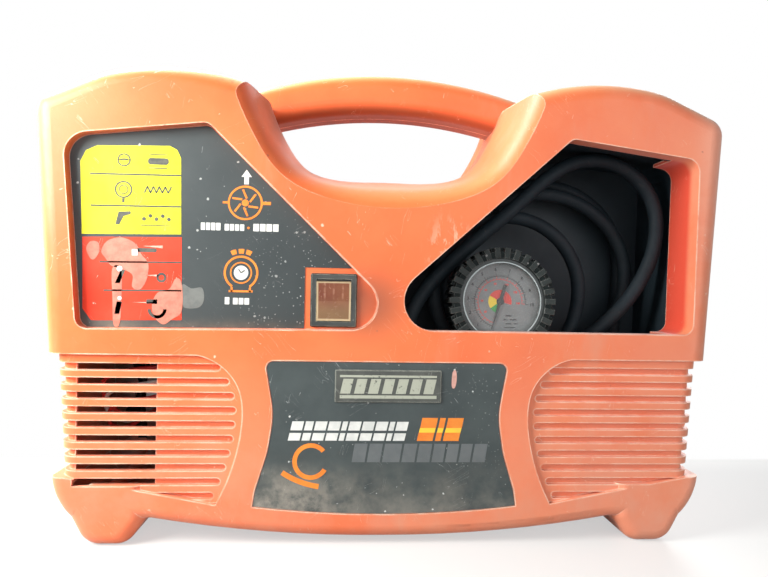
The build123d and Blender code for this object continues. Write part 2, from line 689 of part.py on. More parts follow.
# rocker: a shallow V in front and a round belly behind, tilted to its off position about its pivot
rocker_plane = Plane(
    origin=(SWITCH_AT[0] - ROCKER_SIZE[0] / 2, -switch_face - ROCKER_PIVOT, SWITCH_AT[1]),
    x_dir=(0, cos(radians(ROCKER_TILT)), sin(radians(ROCKER_TILT))),
    z_dir=(1, 0, 0),
)
with BuildPart() as switch_rocker:
    half = ROCKER_SIZE[1] / 2
    with BuildSketch(rocker_plane):
        with BuildLine():
            Line((-ROCKER_PROUD, -half), (-ROCKER_PROUD + 1.2, 0))
            Line((-ROCKER_PROUD + 1.2, 0), (-ROCKER_PROUD, half))
            Line((-ROCKER_PROUD, half), (0, half))
            ThreePointArc((0, half), (ROCKER_BELLY, 0), (0, -half))
            Line((0, -half), (-ROCKER_PROUD, -half))
        make_face()
    extrude(amount=ROCKER_SIZE[0])
switch_rocker.part.label = "switch_rocker"
export_step(switch_rocker.part, "parts/switch_rocker.step")

# ================= storage bin =================

with BuildPart() as storage_bin:
    with BuildSketch(Plane.XZ.offset(BIN_BACK)):
        with BuildLine():
            FilletPolyline(*[(x, z) for x, z, r in BIN], radius=[r for x, z, r in BIN], close=True)
        make_face()
        offset(amount=BIN_WALL)
    extrude(amount=BIN_FRONT - BIN_BACK)
    with BuildSketch(Plane.XZ.offset(BIN_BACK + BIN_WALL)):
        with BuildLine():
            FilletPolyline(*[(x, z) for x, z, r in BIN], radius=[r for x, z, r in BIN], close=True)
        make_face()
    extrude(amount=BIN_FRONT - BIN_BACK - 2 * BIN_WALL, mode=Mode.SUBTRACT)
    # mouth behind the window, wider where the window's cheek reaches in
    with BuildSketch(Plane.XZ.offset(BIN_FRONT - BIN_WALL - 1)):
        add(bay_face(WINDOW, 0))
    extrude(amount=BIN_WALL + 2, mode=Mode.SUBTRACT)
    with BuildSketch(Plane.XZ.offset(HALF_DEPTH - CHEEK_DEEP - 0.3)):
        add(bay_face(WINDOW, BAY_WALL + 0.3))
        with Locations((-20, 200)):
            Rectangle(2 * (WINDOW[1][0] - 12.3) + 40, 300, mode=Mode.SUBTRACT)
    extrude(amount=CHEEK_DEEP, mode=Mode.SUBTRACT)
    # cradles under the gun's barrel
    for x in CRADLE_X:
        with BuildSketch(Plane.YZ.offset(x - CRADLE_WIDE / 2)):
            with Locations((gun_point(0, BARREL_V, BARREL_W)[1], BIN[0][1])):
                Rectangle(2 * BARREL_R - 3.0, 2 * (CRADLE_TOP - BIN[0][1]))
            with Locations((gun_point(0, BARREL_V, BARREL_W)[1], gun_point(0, BARREL_V, BARREL_W)[2])):
                Circle(BARREL_R + 0.3, mode=Mode.SUBTRACT)
            with Locations((gun_point(0, BARREL_V, BARREL_W)[1], BIN[0][1] - 50)):
                Rectangle(60, 100, mode=Mode.SUBTRACT)
        extrude(amount=CRADLE_WIDE)
    with BuildSketch(Plane.XY.offset(BIN[0][1] - BIN_WALL - 1)):
        with Locations(OUTLET_AT):
            Circle(OUTLET_R + 0.1)
    extrude(amount=BIN_WALL + 2, mode=Mode.SUBTRACT)
storage_bin.part.label = "storage_bin"
export_step(storage_bin.part, "parts/storage_bin.step")

# ================= motor =================


def across(x: float):
    """Plane across the motor's shaft at x, its centre on the shaft."""
    return Plane(origin=(x, AXIS_Y, AXIS_Z), x_dir=(0, 1, 0), z_dir=(1, 0, 0))


with BuildPart() as stator_core:
    with BuildSketch(across(STATOR_X[0])):
        Circle(STATOR_R)
        Circle(ROTOR_R + AIR_GAP, mode=Mode.SUBTRACT)
        with PolarLocations(WINDING_MID, SLOTS):
            Rectangle(WINDING_DEEP, SLOT_WIDE, mode=Mode.SUBTRACT)
        with PolarLocations(BOLT_RING, 4, start_angle=45):
            Circle(THROUGH_R + 0.1, mode=Mode.SUBTRACT)
    extrude(amount=STATOR_X[1] - STATOR_X[0])
stator_core.part.label = "stator_core"
export_step(stator_core.part, "parts/stator_core.step")

with BuildPart() as stator_windings:
    for x0, x1 in ((STATOR_X[0] - WINDING_OUT, STATOR_X[0]), (STATOR_X[1], STATOR_X[1] + WINDING_OUT)):
        with BuildSketch(across(x0)):
            Circle(WINDING_MID + WINDING_DEEP / 2)
            Circle(WINDING_MID - WINDING_DEEP / 2, mode=Mode.SUBTRACT)
        extrude(amount=x1 - x0)
    for e in (stator_windings.edges().group_by(Axis.X)[0], stator_windings.edges().group_by(Axis.X)[-1]):
        chamfer(e, WINDING_EDGE)
    with BuildSketch(across(STATOR_X[0])):
        with PolarLocations(WINDING_MID, SLOTS):
            Rectangle(WINDING_DEEP - 2 * SLOT_PAPER, SLOT_WIDE - 2 * SLOT_PAPER)
    extrude(amount=STATOR_X[1] - STATOR_X[0])
stator_windings.part.label = "stator_windings"
export_step(stator_windings.part, "parts/stator_windings.step")

with BuildPart() as rotor_core:
    with BuildSketch(across(STATOR_X[0])):
        Circle(ROTOR_R)
        Circle(SHAFT_R, mode=Mode.SUBTRACT)
    extrude(amount=STATOR_X[1] - STATOR_X[0])
    for x in (STATOR_X[0] - 5.0, STATOR_X[1]):
        with BuildSketch(across(x)):
            Circle(ROTOR_R - 3.0)
            Circle(SHAFT_R, mode=Mode.SUBTRACT)
        extrude(amount=5.0)
rotor_core.part.label = "rotor_core"
export_step(rotor_core.part, "parts/rotor_core.step")

with BuildPart() as motor_shaft:
    with BuildSketch(across(FAN_X[0] - 4.0)):
        Circle(BEARING_BORE)
    extrude(amount=CRANK_X[0] - FAN_X[0] + 4.0)
    with BuildSketch(across(COVER_X + BEARING_LONG + 1.0)):
        Circle(SHAFT_R)
    extrude(amount=CASE_X[0] - COVER_X - BEARING_LONG - 2.0)
motor_shaft.part.label = "motor_shaft"
export_step(motor_shaft.part, "parts/motor_shaft.step")

for name, x in (("fan_end_bearing", COVER_X + 1.0), ("drive_end_bearing", CASE_X[0])):
    with BuildPart() as bearing:
        with BuildSketch(across(x)):
            Circle(BEARING_R)
            Circle(BEARING_BORE + RUN_FIT, mode=Mode.SUBTRACT)
        extrude(amount=BEARING_LONG)
        for face_x in (x, x + BEARING_LONG - 1.0):
            with BuildSketch(across(face_x)):
                Circle(BEARING_R - 3.5)
                Circle(BEARING_BORE + 2.5, mode=Mode.SUBTRACT)
            extrude(amount=1.0, mode=Mode.SUBTRACT)
    bearing.part.label = name
    export_step(bearing.part, f"parts/{name}.step")

with BuildPart() as motor_end_cover:
    with BuildSketch(across(COVER_X)):
        Circle(STATOR_R - 6.0)
    extrude(amount=4.0)
    with BuildSketch(across(COVER_X)):
        Circle(STATOR_R)
        Circle(STATOR_R - 6.0, mode=Mode.SUBTRACT)
    extrude(amount=STATOR_X[0] - COVER_X)
    with BuildSketch(across(COVER_X)):
        Circle(BEARING_R + 4.0)
    extrude(amount=BEARING_LONG + 1.0)
    with BuildSketch(across(COVER_X + 1.0)):
        Circle(BEARING_R)
    extrude(amount=BEARING_LONG, mode=Mode.SUBTRACT)
    with BuildSketch(across(COVER_X - 1.0)):
        Circle(BEARING_BORE + 1.5)
        with PolarLocations(30.0, 8):
            RectangleRounded(14.0, 8.0, 2.0)
        with PolarLocations(BOLT_RING, 4, start_angle=45):
            Circle(THROUGH_R + 0.1)
    extrude(amount=STATOR_X[0] - COVER_X + 2.0, mode=Mode.SUBTRACT)
motor_end_cover.part.label = "motor_end_cover"
export_step(motor_end_cover.part, "parts/motor_end_cover.step")

with BuildPart() as cooling_fan:
    with BuildSketch(across(FAN_X[0])):
        Circle(FAN_HUB)
        Circle(BEARING_BORE, mode=Mode.SUBTRACT)
    extrude(amount=FAN_X[1] - FAN_X[0])
    with BuildSketch(across(FAN_X[1] - 1.6)):
        Circle(FAN_R)
        Circle(FAN_HUB - 1.0, mode=Mode.SUBTRACT)
    extrude(amount=1.6)
    with BuildSketch(across(FAN_X[0])):
        with PolarLocations((FAN_R + FAN_HUB) / 2 - 0.5, FAN_BLADES):
            Rectangle(FAN_R - FAN_HUB, 1.6)
    extrude(amount=FAN_X[1] - FAN_X[0] - 1.0)
cooling_fan.part.label = "cooling_fan"
export_step(cooling_fan.part, "parts/cooling_fan.step")

# four long bolts tie the end cover and the stator to the crankcase
with BuildPart() as motor_bolts:
    with BuildSketch(across(COVER_X - 3.0)):
        with PolarLocations(BOLT_RING, 4, start_angle=45):
            RegularPolygon(THROUGH_R + 2.2, 6)
    extrude(amount=3.0)
    with BuildSketch(across(COVER_X)):
        with PolarLocations(BOLT_RING, 4, start_angle=45):
            Circle(THROUGH_R)
    extrude(amount=CASE_X[0] + MOTOR_BITE - COVER_X)
motor_bolts.part.label = "motor_bolts"
export_step(motor_bolts.part, "parts/motor_bolts.step")

# ================= pump =================

with BuildPart() as crankshaft:
    with BuildSketch(across(CRANK_X[0])):
        Circle(WEB_R)
        with Locations((-CRANK_THROW - 3.0, 0)):
            Rectangle(22.0, 34.0, mode=Mode.INTERSECT)
    extrude(amount=CRANK_X[1] - CRANK_X[0])
    with BuildSketch(across(CRANK_X[0])):
        Circle(BEARING_BORE + 5.0)
    extrude(amount=CRANK_X[1] - CRANK_X[0])
    with BuildSketch(across(CRANK_X[1])):
        with Locations((CRANK_THROW, 0)):
            Circle(PIN_R)
    extrude(amount=ROD_X[1] - CRANK_X[1] + 2.0)
    with BuildSketch(across(CRANK_X[0])):
        with Locations((CRANK_THROW, 0)):
            Circle(PIN_R + 3.0)
    extrude(amount=CRANK_X[1] - CRANK_X[0])
crankshaft.part.label = "crankshaft"
export_step(crankshaft.part, "parts/crankshaft.step")

with BuildPart() as crankcase:
    with BuildSketch(Plane.XY.offset(CASE_LOW)):
        with Locations((PUMP_X, AXIS_Y)):
            RectangleRounded(CASE_SIZE, CASE_SIZE, 6.0)
    extrude(amount=CASE_TOP - CASE_LOW)
    # motor seat on the left and the chamber, open on the right
    with BuildSketch(across(STATOR_X[1])):
        Circle(STATOR_R)
        Circle(STATOR_R - 6.0, mode=Mode.SUBTRACT)
    extrude(amount=CASE_X[0] + 2.0 - STATOR_X[1])
    with BuildSketch(across(CASE_X[0] + CASE_WALL)):
        with Locations((0, 0)):
            RectangleRounded(2 * CHAMBER_HALF[0], 2 * CHAMBER_HALF[1], 10.0)
    extrude(amount=CASE_SIZE, mode=Mode.SUBTRACT)
    with BuildSketch(across(CASE_X[0] - 1.0)):
        Circle(BEARING_R)
    extrude(amount=BEARING_LONG + 1.0, mode=Mode.SUBTRACT)
    with BuildSketch(across(CASE_X[0] - 1.0)):
        Circle(BEARING_R - 3.5)
    extrude(amount=CASE_WALL + 2.0, mode=Mode.SUBTRACT)
    with BuildSketch(across(STATOR_X[1] - 1.0)):
        with PolarLocations(BOLT_RING, 4, start_angle=45):
            Circle(THROUGH_R + 0.1)
    extrude(amount=CASE_X[0] + MOTOR_BITE + 2.0 - STATOR_X[1], mode=Mode.SUBTRACT)
    with BuildSketch(Plane.XY.offset(AXIS_Z)):
        with Locations((PUMP_X, AXIS_Y)):
            Circle(BORE_R)
    extrude(amount=CASE_TOP - AXIS_Z + 1.0, mode=Mode.SUBTRACT)
    with BuildSketch(Plane.XY.offset(CASE_TOP - HEAD_BITE)):
        with Locations((PUMP_X, AXIS_Y)):
            with GridLocations(HEAD_PITCH, HEAD_PITCH, 2, 2):
                Circle(HEAD_BOLT_R + 0.1)
    extrude(amount=HEAD_BITE + 1.0, mode=Mode.SUBTRACT)
crankcase.part.label = "crankcase"
export_step(crankcase.part, "parts/crankcase.step")

with BuildPart() as cylinder:
    with BuildSketch(Plane.XY.offset(CASE_TOP)):
        with Locations((PUMP_X, AXIS_Y)):
            Circle(BORE_R + LINER)
            Circle(BORE_R, mode=Mode.SUBTRACT)
    extrude(amount=CYL_TOP - CASE_TOP)
    for k in range(FINS):
        z = CASE_TOP + 6.0 + k * (CYL_TOP - CASE_TOP - 12.0 - FIN_THICK) / (FINS - 1)
        with BuildSketch(Plane.XY.offset(z)):
            with Locations((PUMP_X, AXIS_Y)):
                Circle(FIN_R)
                Circle(BORE_R + LINER - 0.5, mode=Mode.SUBTRACT)
        extrude(amount=FIN_THICK)
cylinder.part.label = "cylinder"
export_step(cylinder.part, "parts/cylinder.step")

piston_top = CYL_TOP - CRANK_THROW - TOP_GAP
with BuildPart() as connecting_rod:
    with BuildSketch(across(ROD_X[0])):
        Circle(EYE_R + EYE_RIM + BUSH)
        with Locations((0, (piston_top - 8.0 - AXIS_Z) / 2)):
            Rectangle(15.0, piston_top - 8.0 - AXIS_Z)
        Circle(EYE_R + BUSH, mode=Mode.SUBTRACT)
    extrude(amount=ROD_X[1] - ROD_X[0])
    with BuildSketch(Plane.XY.offset(piston_top - 8.0)):
        with Locations((PUMP_X, AXIS_Y)):
            Circle(PISTON_R)
    extrude(amount=4.0)
    chamfer(connecting_rod.faces().sort_by(Axis.Z)[-1].edges(), 0.5)
connecting_rod.part.label = "connecting_rod"
export_step(connecting_rod.part, "parts/connecting_rod.step")

with BuildPart() as rod_bush:
    with BuildSketch(across(ROD_X[0])):
        Circle(EYE_R + BUSH)
        Circle(EYE_R, mode=Mode.SUBTRACT)
    extrude(amount=ROD_X[1] - ROD_X[0])
rod_bush.part.label = "rod_bush"
export_step(rod_bush.part, "parts/rod_bush.step")

with BuildPart() as piston_seal:
    with BuildSketch(Plane.XY.offset(piston_top - 4.0)):
        with Locations((PUMP_X, AXIS_Y)):
            Circle(BORE_R - SEAL_FIT)
    extrude(amount=1.2)
    with BuildSketch(Plane.XY.offset(piston_top - 2.8)):
        with Locations((PUMP_X, AXIS_Y)):
            Circle(BORE_R - SEAL_FIT)
            Circle(PISTON_R - 1.5, mode=Mode.SUBTRACT)
    extrude(amount=2.4)
piston_seal.part.label = "piston_seal"
export_step(piston_seal.part, "parts/piston_seal.step")

with BuildPart() as seal_retainer:
    with BuildSketch(Plane.XY.offset(piston_top - 2.8)):
        with Locations((PUMP_X, AXIS_Y)):
            Circle(PISTON_R - 2.0)
    extrude(amount=2.0)
    with BuildSketch(Plane.XY.offset(piston_top - 0.8)):
        with Locations((PUMP_X, AXIS_Y)):
            Circle(5.0)
            RegularPolygon(2.4, 6, mode=Mode.SUBTRACT)
    extrude(amount=0.8)
seal_retainer.part.label = "seal_retainer"
export_step(seal_retainer.part, "parts/seal_retainer.step")


def head_sketch(size: float):
    """Square plate round the cylinder's axis with its four bolt holes."""
    with BuildSketch() as plate:
        with Locations((PUMP_X, AXIS_Y)):
            RectangleRounded(size, size, 6.0)
            with GridLocations(HEAD_PITCH, HEAD_PITCH, 2, 2):
                Circle(HEAD_BOLT_R + 0.1, mode=Mode.SUBTRACT)
    return plate.sketch


with BuildPart() as head_gasket:
    with BuildSketch(Plane.XY.offset(CYL_TOP)):
        add(head_sketch(HEAD_SIZE))
        with Locations((PUMP_X, AXIS_Y)):
            Circle(BORE_R, mode=Mode.SUBTRACT)
    extrude(amount=GASKET)
head_gasket.part.label = "head_gasket"
export_step(head_gasket.part, "parts/head_gasket.step")

plate_low = CYL_TOP + GASKET
with BuildPart() as valve_plate:
    with BuildSketch(Plane.XY.offset(plate_low)):
        add(head_sketch(HEAD_SIZE))
        with Locations((PUMP_X - 14.0, AXIS_Y), (PUMP_X + 14.0, AXIS_Y)):
            Circle(PORT_R, mode=Mode.SUBTRACT)
    extrude(amount=PLATE)
valve_plate.part.label = "valve_plate"
export_step(valve_plate.part, "parts/valve_plate.step")

# spring steel flaps: the inlet's under the plate, the outlet's on top of it
with BuildPart() as reed_valves:
    for x, z in ((PUMP_X - 14.0, plate_low - GASKET + 0.1), (PUMP_X + 14.0, plate_low + PLATE)):
        with BuildSketch(Plane.XY.offset(z)):
            with Locations((x, AXIS_Y + 6.0)):
                SlotOverall(28.0, 12.0, rotation=90)
        extrude(amount=0.4)
reed_valves.part.label = "reed_valves"
export_step(reed_valves.part, "parts/reed_valves.step")

head_low = plate_low + PLATE
with BuildPart() as cylinder_head:
    with BuildSketch(Plane.XY.offset(head_low)):
        add(head_sketch(HEAD_SIZE))
    extrude(amount=HEAD_TALL - 8.0)
    with BuildSketch(Plane.XY.offset(head_low + HEAD_TALL - 8.0)):
        with Locations((PUMP_X, AXIS_Y)):
            with GridLocations(8.0, 0, 6, 1):
                Rectangle(2.4, HEAD_SIZE - 8.0)
    extrude(amount=8.0)
    with BuildSketch(Plane.XY.offset(head_low)):
        with Locations((PUMP_X - 15.0, AXIS_Y), (PUMP_X + 15.0, AXIS_Y)):
            RectangleRounded(24.0, 42.0, 4.0)
    extrude(amount=10.0, mode=Mode.SUBTRACT)
    with BuildSketch(Plane.YZ.offset(PUMP_X - HEAD_SIZE / 2 - 1)):
        with Locations((AXIS_Y, head_low + 6.0)):
            Circle(FILTER_NECK)
    extrude(amount=16.0, mode=Mode.SUBTRACT)
    with BuildSketch(Plane.YZ.offset(PUMP_X + HEAD_SIZE / 2 - 12)):
        with Locations((AXIS_Y, head_low + 6.0)):
            Circle(PIPE_R + 0.05)
    extrude(amount=14.0, mode=Mode.SUBTRACT)
    # bolt seats through the outer fins
    with BuildSketch(Plane.XY.offset(head_low + HEAD_TALL - 8.0)):
        with Locations((PUMP_X, AXIS_Y)):
            with GridLocations(HEAD_PITCH, HEAD_PITCH, 2, 2):
                Circle(HEAD_BOLT_R + 3.5)
    extrude(amount=10.0, mode=Mode.SUBTRACT)
cylinder_head.part.label = "cylinder_head"
export_step(cylinder_head.part, "parts/cylinder_head.step")

with BuildPart() as head_bolts:
    with BuildSketch(Plane.XY.offset(CASE_TOP - HEAD_BITE + 1.0)):
        with Locations((PUMP_X, AXIS_Y)):
            with GridLocations(HEAD_PITCH, HEAD_PITCH, 2, 2):
                Circle(HEAD_BOLT_R)
    extrude(amount=head_low + HEAD_TALL - 8.0 - CASE_TOP + HEAD_BITE - 1.0)
    with BuildSketch(Plane.XY.offset(head_low + HEAD_TALL - 8.0)):
        with Locations((PUMP_X, AXIS_Y)):
            with GridLocations(HEAD_PITCH, HEAD_PITCH, 2, 2):
                RegularPolygon(HEAD_BOLT_R + 2.0, 6)
    extrude(amount=4.0)
head_bolts.part.label = "head_bolts"
export_step(head_bolts.part, "parts/head_bolts.step")

filter_at = (PUMP_X - HEAD_SIZE / 2, AXIS_Y, head_low + 6.0)
filter_plane = Plane(origin=filter_at, x_dir=(0, 1, 0), z_dir=(-1, 0, 0))
with BuildPart() as intake_filter:
    with BuildSketch(filter_plane.offset(-10.0)):
        Circle(FILTER_NECK - 0.05)
        Circle(FILTER_NECK - 2.0, mode=Mode.SUBTRACT)
    extrude(amount=12.0)
    with BuildSketch(filter_plane.offset(0.2)):
        Circle(13.0)
        Circle(FILTER_NECK - 2.0, mode=Mode.SUBTRACT)
    extrude(amount=18.0)
    with BuildSketch(filter_plane.offset(18.2)):
        Circle(13.0)
    extrude(amount=3.0)
    with BuildSketch(filter_plane.offset(4.0)):
        with PolarLocations(13.0, 12):
            Rectangle(2.4, 2.4)
    extrude(amount=11.0, mode=Mode.SUBTRACT)
intake_filter.part.label = "intake_filter"
export_step(intake_filter.part, "parts/intake_filter.step")

# ================= mounting =================

with BuildPart() as base_bracket:
    with BuildSketch(Plane.XY.offset(POST_TOP + RUBBER)):
        with Locations(((BRACKET_X[0] + BRACKET_X[1]) / 2, AXIS_Y)):
            Rectangle(BRACKET_X[1] - BRACKET_X[0], CASE_SIZE - 4.0)
        with Locations(*[(mx, my) for mx in MOUNT_X for my in MOUNT_Y]):
            Circle(STUD_R + 0.3, mode=Mode.SUBTRACT)
    extrude(amount=BRACKET)
    # cradles that hug the stator
    for x in (STATOR_X[0] + 4.0, STATOR_X[1] - 10.0):
        with BuildSketch(across(x)):
            with Locations((0, -STATOR_R + 2.0)):
                Rectangle(60.0, 2 * (AXIS_Z - STATOR_R + 2.0 - POST_TOP - RUBBER - BRACKET))
            Circle(STATOR_R + 0.05, mode=Mode.SUBTRACT)
        extrude(amount=6.0)
base_bracket.part.label = "base_bracket"
export_step(base_bracket.part, "parts/base_bracket.step")

with BuildPart() as rubber_mounts:
    for x in MOUNT_X:
        for y in MOUNT_Y:
            with BuildSketch(Plane.XY.offset(POST_TOP)):
                with Locations((x, y)):
                    Circle(MOUNT_R - 1.0)
            extrude(amount=RUBBER)
            with BuildSketch(Plane.XY.offset(POST_TOP + RUBBER)):
                with Locations((x, y)):
                    Circle(STUD_R)
            extrude(amount=BRACKET + 5.0)
rubber_mounts.part.label = "rubber_mounts"
export_step(rubber_mounts.part, "parts/rubber_mounts.step")

with BuildPart() as mount_nuts:
    with BuildSketch(Plane.XY.offset(POST_TOP + RUBBER + BRACKET)):
        for x in MOUNT_X:
            for y in MOUNT_Y:
                with Locations((x, y)):
                    RegularPolygon(STUD_R + 2.6, 6)
                    Circle(STUD_R, mode=Mode.SUBTRACT)
    extrude(amount=3.5)
mount_nuts.part.label = "mount_nuts"
export_step(mount_nuts.part, "parts/mount_nuts.step")

with BuildPart() as run_capacitor:
    with BuildSketch(Plane.XY.offset(CAP_POST[3])):
        with Locations(CAP_POST[:2]):
            Circle(CAP_R)
    extrude(amount=CAP_TALL)
    fillet(run_capacitor.faces().sort_by(Axis.Z)[-1].edges(), 2.0)
    with BuildSketch(Plane.XY.offset(CAP_POST[3] + CAP_TALL)):
        with Locations((CAP_POST[0] - 6, CAP_POST[1]), (CAP_POST[0] + 6, CAP_POST[1])):
            Rectangle(0.8, 6.3)
    extrude(amount=8.0)
run_capacitor.part.label = "run_capacitor"
export_step(run_capacitor.part, "parts/run_capacitor.step")

with BuildPart() as cable_gland:
    with BuildSketch(Plane.XZ.offset(GLAND_SINK - HALF_DEPTH)):
        with Locations(GLAND_AT):
            Circle(GLAND_R + GLAND_LIP)
    extrude(amount=-GLAND_HEAD)
    chamfer(cable_gland.faces().sort_by(Axis.Y)[-1].edges(), GLAND_HEAD / 2)
    with BuildSketch(Plane.XZ.offset(-BAND_INNER + GLAND_INNER)):
        with Locations(GLAND_AT):
            Circle(GLAND_R)
    extrude(amount=BAND_INNER - GLAND_INNER - HALF_DEPTH + GLAND_SINK)
    with BuildSketch(Plane.XZ.offset(-HALF_DEPTH - GLAND_HEAD)):
        with Locations(GLAND_AT):
            Circle(GLAND_BORE)
    extrude(amount=HALF_DEPTH + GLAND_HEAD, mode=Mode.SUBTRACT)
cable_gland.part.label = "cable_gland"
export_step(cable_gland.part, "parts/cable_gland.step")

with BuildPart() as gland_nut:
    with BuildSketch(Plane.XZ.offset(-BAND_INNER)):
        with Locations(GLAND_AT):
            RegularPolygon(GLAND_R + 3.0, 6)
            Circle(GLAND_R + 0.05, mode=Mode.SUBTRACT)
    extrude(amount=4.0)
gland_nut.part.label = "gland_nut"
export_step(gland_nut.part, "parts/gland_nut.step")

# ================= air line =================

with BuildPart() as outlet_fitting:
    with BuildSketch(Plane.XY.offset(BIN[0][1] - BIN_WALL - 10.0)):
        with Locations(OUTLET_AT):
            Circle(OUTLET_R)
            Circle(PIPE_R + 0.05, mode=Mode.SUBTRACT)
    extrude(amount=10.0 + BIN_WALL)
    with BuildSketch(Plane.XY.offset(BIN[0][1] - BIN_WALL - 6.0)):
        with Locations(OUTLET_AT):
            RegularPolygon(OUTLET_R + 3.0, 6)
            Circle(PIPE_R + 0.05, mode=Mode.SUBTRACT)
    extrude(amount=6.0)
    with BuildSketch(Plane.XY.offset(BIN[0][1])):
        with Locations(OUTLET_AT):
            RegularPolygon(OUTLET_R + 3.0, 6)
            Circle(PIPE_R + 0.05, mode=Mode.SUBTRACT)
    extrude(amount=6.0)
    with BuildSketch(Plane.XY.offset(BIN[0][1] + 6.0)):
        with Locations(OUTLET_AT):
            Circle(OUTLET_R + 1.6)
            Circle(PIPE_R - 1.0, mode=Mode.SUBTRACT)
    extrude(amount=14.0)
outlet_fitting.part.label = "outlet_fitting"
export_step(outlet_fitting.part, "parts/outlet_fitting.step")

pipe_route = (
    (PUMP_X + HEAD_SIZE / 2 - 11.0, AXIS_Y, head_low + 6.0),
    (PUMP_X + HEAD_SIZE / 2 + 34.0, AXIS_Y, head_low + 6.0),
    (PUMP_X + HEAD_SIZE / 2 + 40.0, AXIS_Y, 78.0),
    (OUTLET_AT[0], OUTLET_AT[1] + 30.0, 68.0),
    (OUTLET_AT[0], OUTLET_AT[1], 68.0),
    (OUTLET_AT[0], OUTLET_AT[1], BIN[0][1] - BIN_WALL),
)
with BuildPart() as outlet_pipe:
    with BuildLine():
        FilletPolyline(*pipe_route, radius=PIPE_BEND)
    with BuildSketch(Plane(origin=pipe_route[0], x_dir=(0, 1, 0), z_dir=(1, 0, 0))):
        Circle(PIPE_R)
        Circle(PIPE_R - 1.0, mode=Mode.SUBTRACT)
    sweep()
outlet_pipe.part.label = "outlet_pipe"
export_step(outlet_pipe.part, "parts/outlet_pipe.step")

# ================= inflator gun =================


def gun_plane(w: float):
    """Plane of the gun at w, facing the front."""
    lean = radians(GUN_LEAN)
    return Plane(origin=gun_point(0, 0, w), x_dir=(1, 0, 0), z_dir=(0, -cos(lean), sin(lean)))


def on_gun(x: float, z: float) -> tuple:
    """Point of the gun's plane above the barrel's axis that stands at x and at height z."""
    barrel = gun_point(0, BARREL_V, BARREL_W)
    return (x - GUN_AT[0], BARREL_V + (z - barrel[2]) / cos(radians(GUN_LEAN)))


def barrel_plane(x: float):
    """Plane across the gun's barrel at x; its second axis stands up the gun."""
    barrel = gun_point(0, BARREL_V, BARREL_W)
    lean = radians(GUN_LEAN)
    return Plane(origin=(x, barrel[1], barrel[2]), x_dir=(0, cos(lean), -sin(lean)), z_dir=(1, 0, 0))


def stud_plane(x: float, z: float):
    """Plane square to the gun's upright at height z over the barrel."""
    u, v = on_gun(x, z)
    lean = radians(GUN_LEAN)
    return Plane(origin=gun_point(u, v, BARREL_W), x_dir=(1, 0, 0), z_dir=(0, sin(lean), cos(lean)))


with BuildPart() as gun_body:
    with BuildSketch(barrel_plane(BARREL_X[0])):
        Circle(BARREL_R)
    extrude(amount=BARREL_X[1] - BARREL_X[0])
    chamfer(gun_body.edges().filter_by(GeomType.CIRCLE), 1.0)
    with BuildSketch(gun_plane(BARREL_W - BLOCK_HALF)):
        with Locations(((BLOCK_U[0] + BLOCK_U[1]) / 2, BARREL_V)):
            Rectangle(BLOCK_U[1] - BLOCK_U[0], BLOCK_TOP - BARREL_V, align=(Align.CENTER, Align.MIN))
    extrude(amount=2 * BLOCK_HALF)
    for w in (BARREL_W - BLOCK_HALF, BARREL_W + BLOCK_HALF - EAR_THICK):
        with BuildSketch(gun_plane(w)):
            with BuildLine():
                FilletPolyline(*[on_gun(x, z) for x, z in EAR], radius=2.5, close=True)
            make_face()
        extrude(amount=EAR_THICK)
    with BuildSketch(barrel_plane(BARREL_X[0] - 1)):
        Circle(BARREL_BORE)
    extrude(amount=BARREL_X[1] - BARREL_X[0] + 2, mode=Mode.SUBTRACT)
    with BuildSketch(gun_plane(BARREL_W - BLOCK_HALF - 1)):
        with Locations(on_gun(*HINGE_AT)):
            Circle(PIN + 0.02)
    extrude(amount=2 * BLOCK_HALF + 2, mode=Mode.SUBTRACT)
    # cut for the lever's root between the ears
    with BuildSketch(gun_plane(BARREL_W - LEVER_WIDE / 2 - 0.5)):
        with Locations(on_gun(HINGE_AT[0], HINGE_AT[1] - 1.0)):
            Rectangle(2 * (HINGE_AT[0] - 94.5), 9.0)
    extrude(amount=LEVER_WIDE + 1.0, mode=Mode.SUBTRACT)
    for x, r in ((PLUNGER_X, PLUNGER_R), (BUTTON_X, PLUNGER_R)):
        with BuildSketch(stud_plane(x, gun_point(0, BARREL_V, BARREL_W)[2])):
            Circle(r + 0.05)
        extrude(amount=20.0, mode=Mode.SUBTRACT)
    with BuildSketch(stud_plane(GUN_AT[0], gun_point(0, BLOCK_TOP - 10.0, BARREL_W)[2])):
        Circle(STEM_R)
    extrude(amount=12.0, mode=Mode.SUBTRACT)
gun_body.part.label = "gun_body"
export_step(gun_body.part, "parts/gun_body.step")

with BuildPart() as gun_trigger:
    with BuildSketch(gun_plane(BARREL_W - LEVER_WIDE / 2)):
        with BuildLine():
            Polyline(*[on_gun(x, z) for x, z in LEVER_TOP + LEVER_UNDER], close=True)
        make_face()
        with Locations(on_gun(*HINGE_AT)):
            Circle(PIN + 0.05, mode=Mode.SUBTRACT)
    extrude(amount=LEVER_WIDE)
gun_trigger.part.label = "gun_trigger"
export_step(gun_trigger.part, "parts/gun_trigger.step")

with BuildPart() as hinge_pin:
    with BuildSketch(gun_plane(BARREL_W - BLOCK_HALF - 0.8)):
        with Locations(on_gun(*HINGE_AT)):
            Circle(PIN)
    extrude(amount=2 * BLOCK_HALF + 1.6)
hinge_pin.part.label = "hinge_pin"
export_step(hinge_pin.part, "parts/hinge_pin.step")

with BuildPart() as valve_plunger:
    with BuildSketch(stud_plane(PLUNGER_X, PLUNGER_TOP - 12.0)):
        Circle(PLUNGER_R)
    extrude(amount=12.0)
    chamfer(valve_plunger.faces().sort_by(Axis.Z)[-1].edges(), 0.8)
valve_plunger.part.label = "valve_plunger"
export_step(valve_plunger.part, "parts/valve_plunger.step")

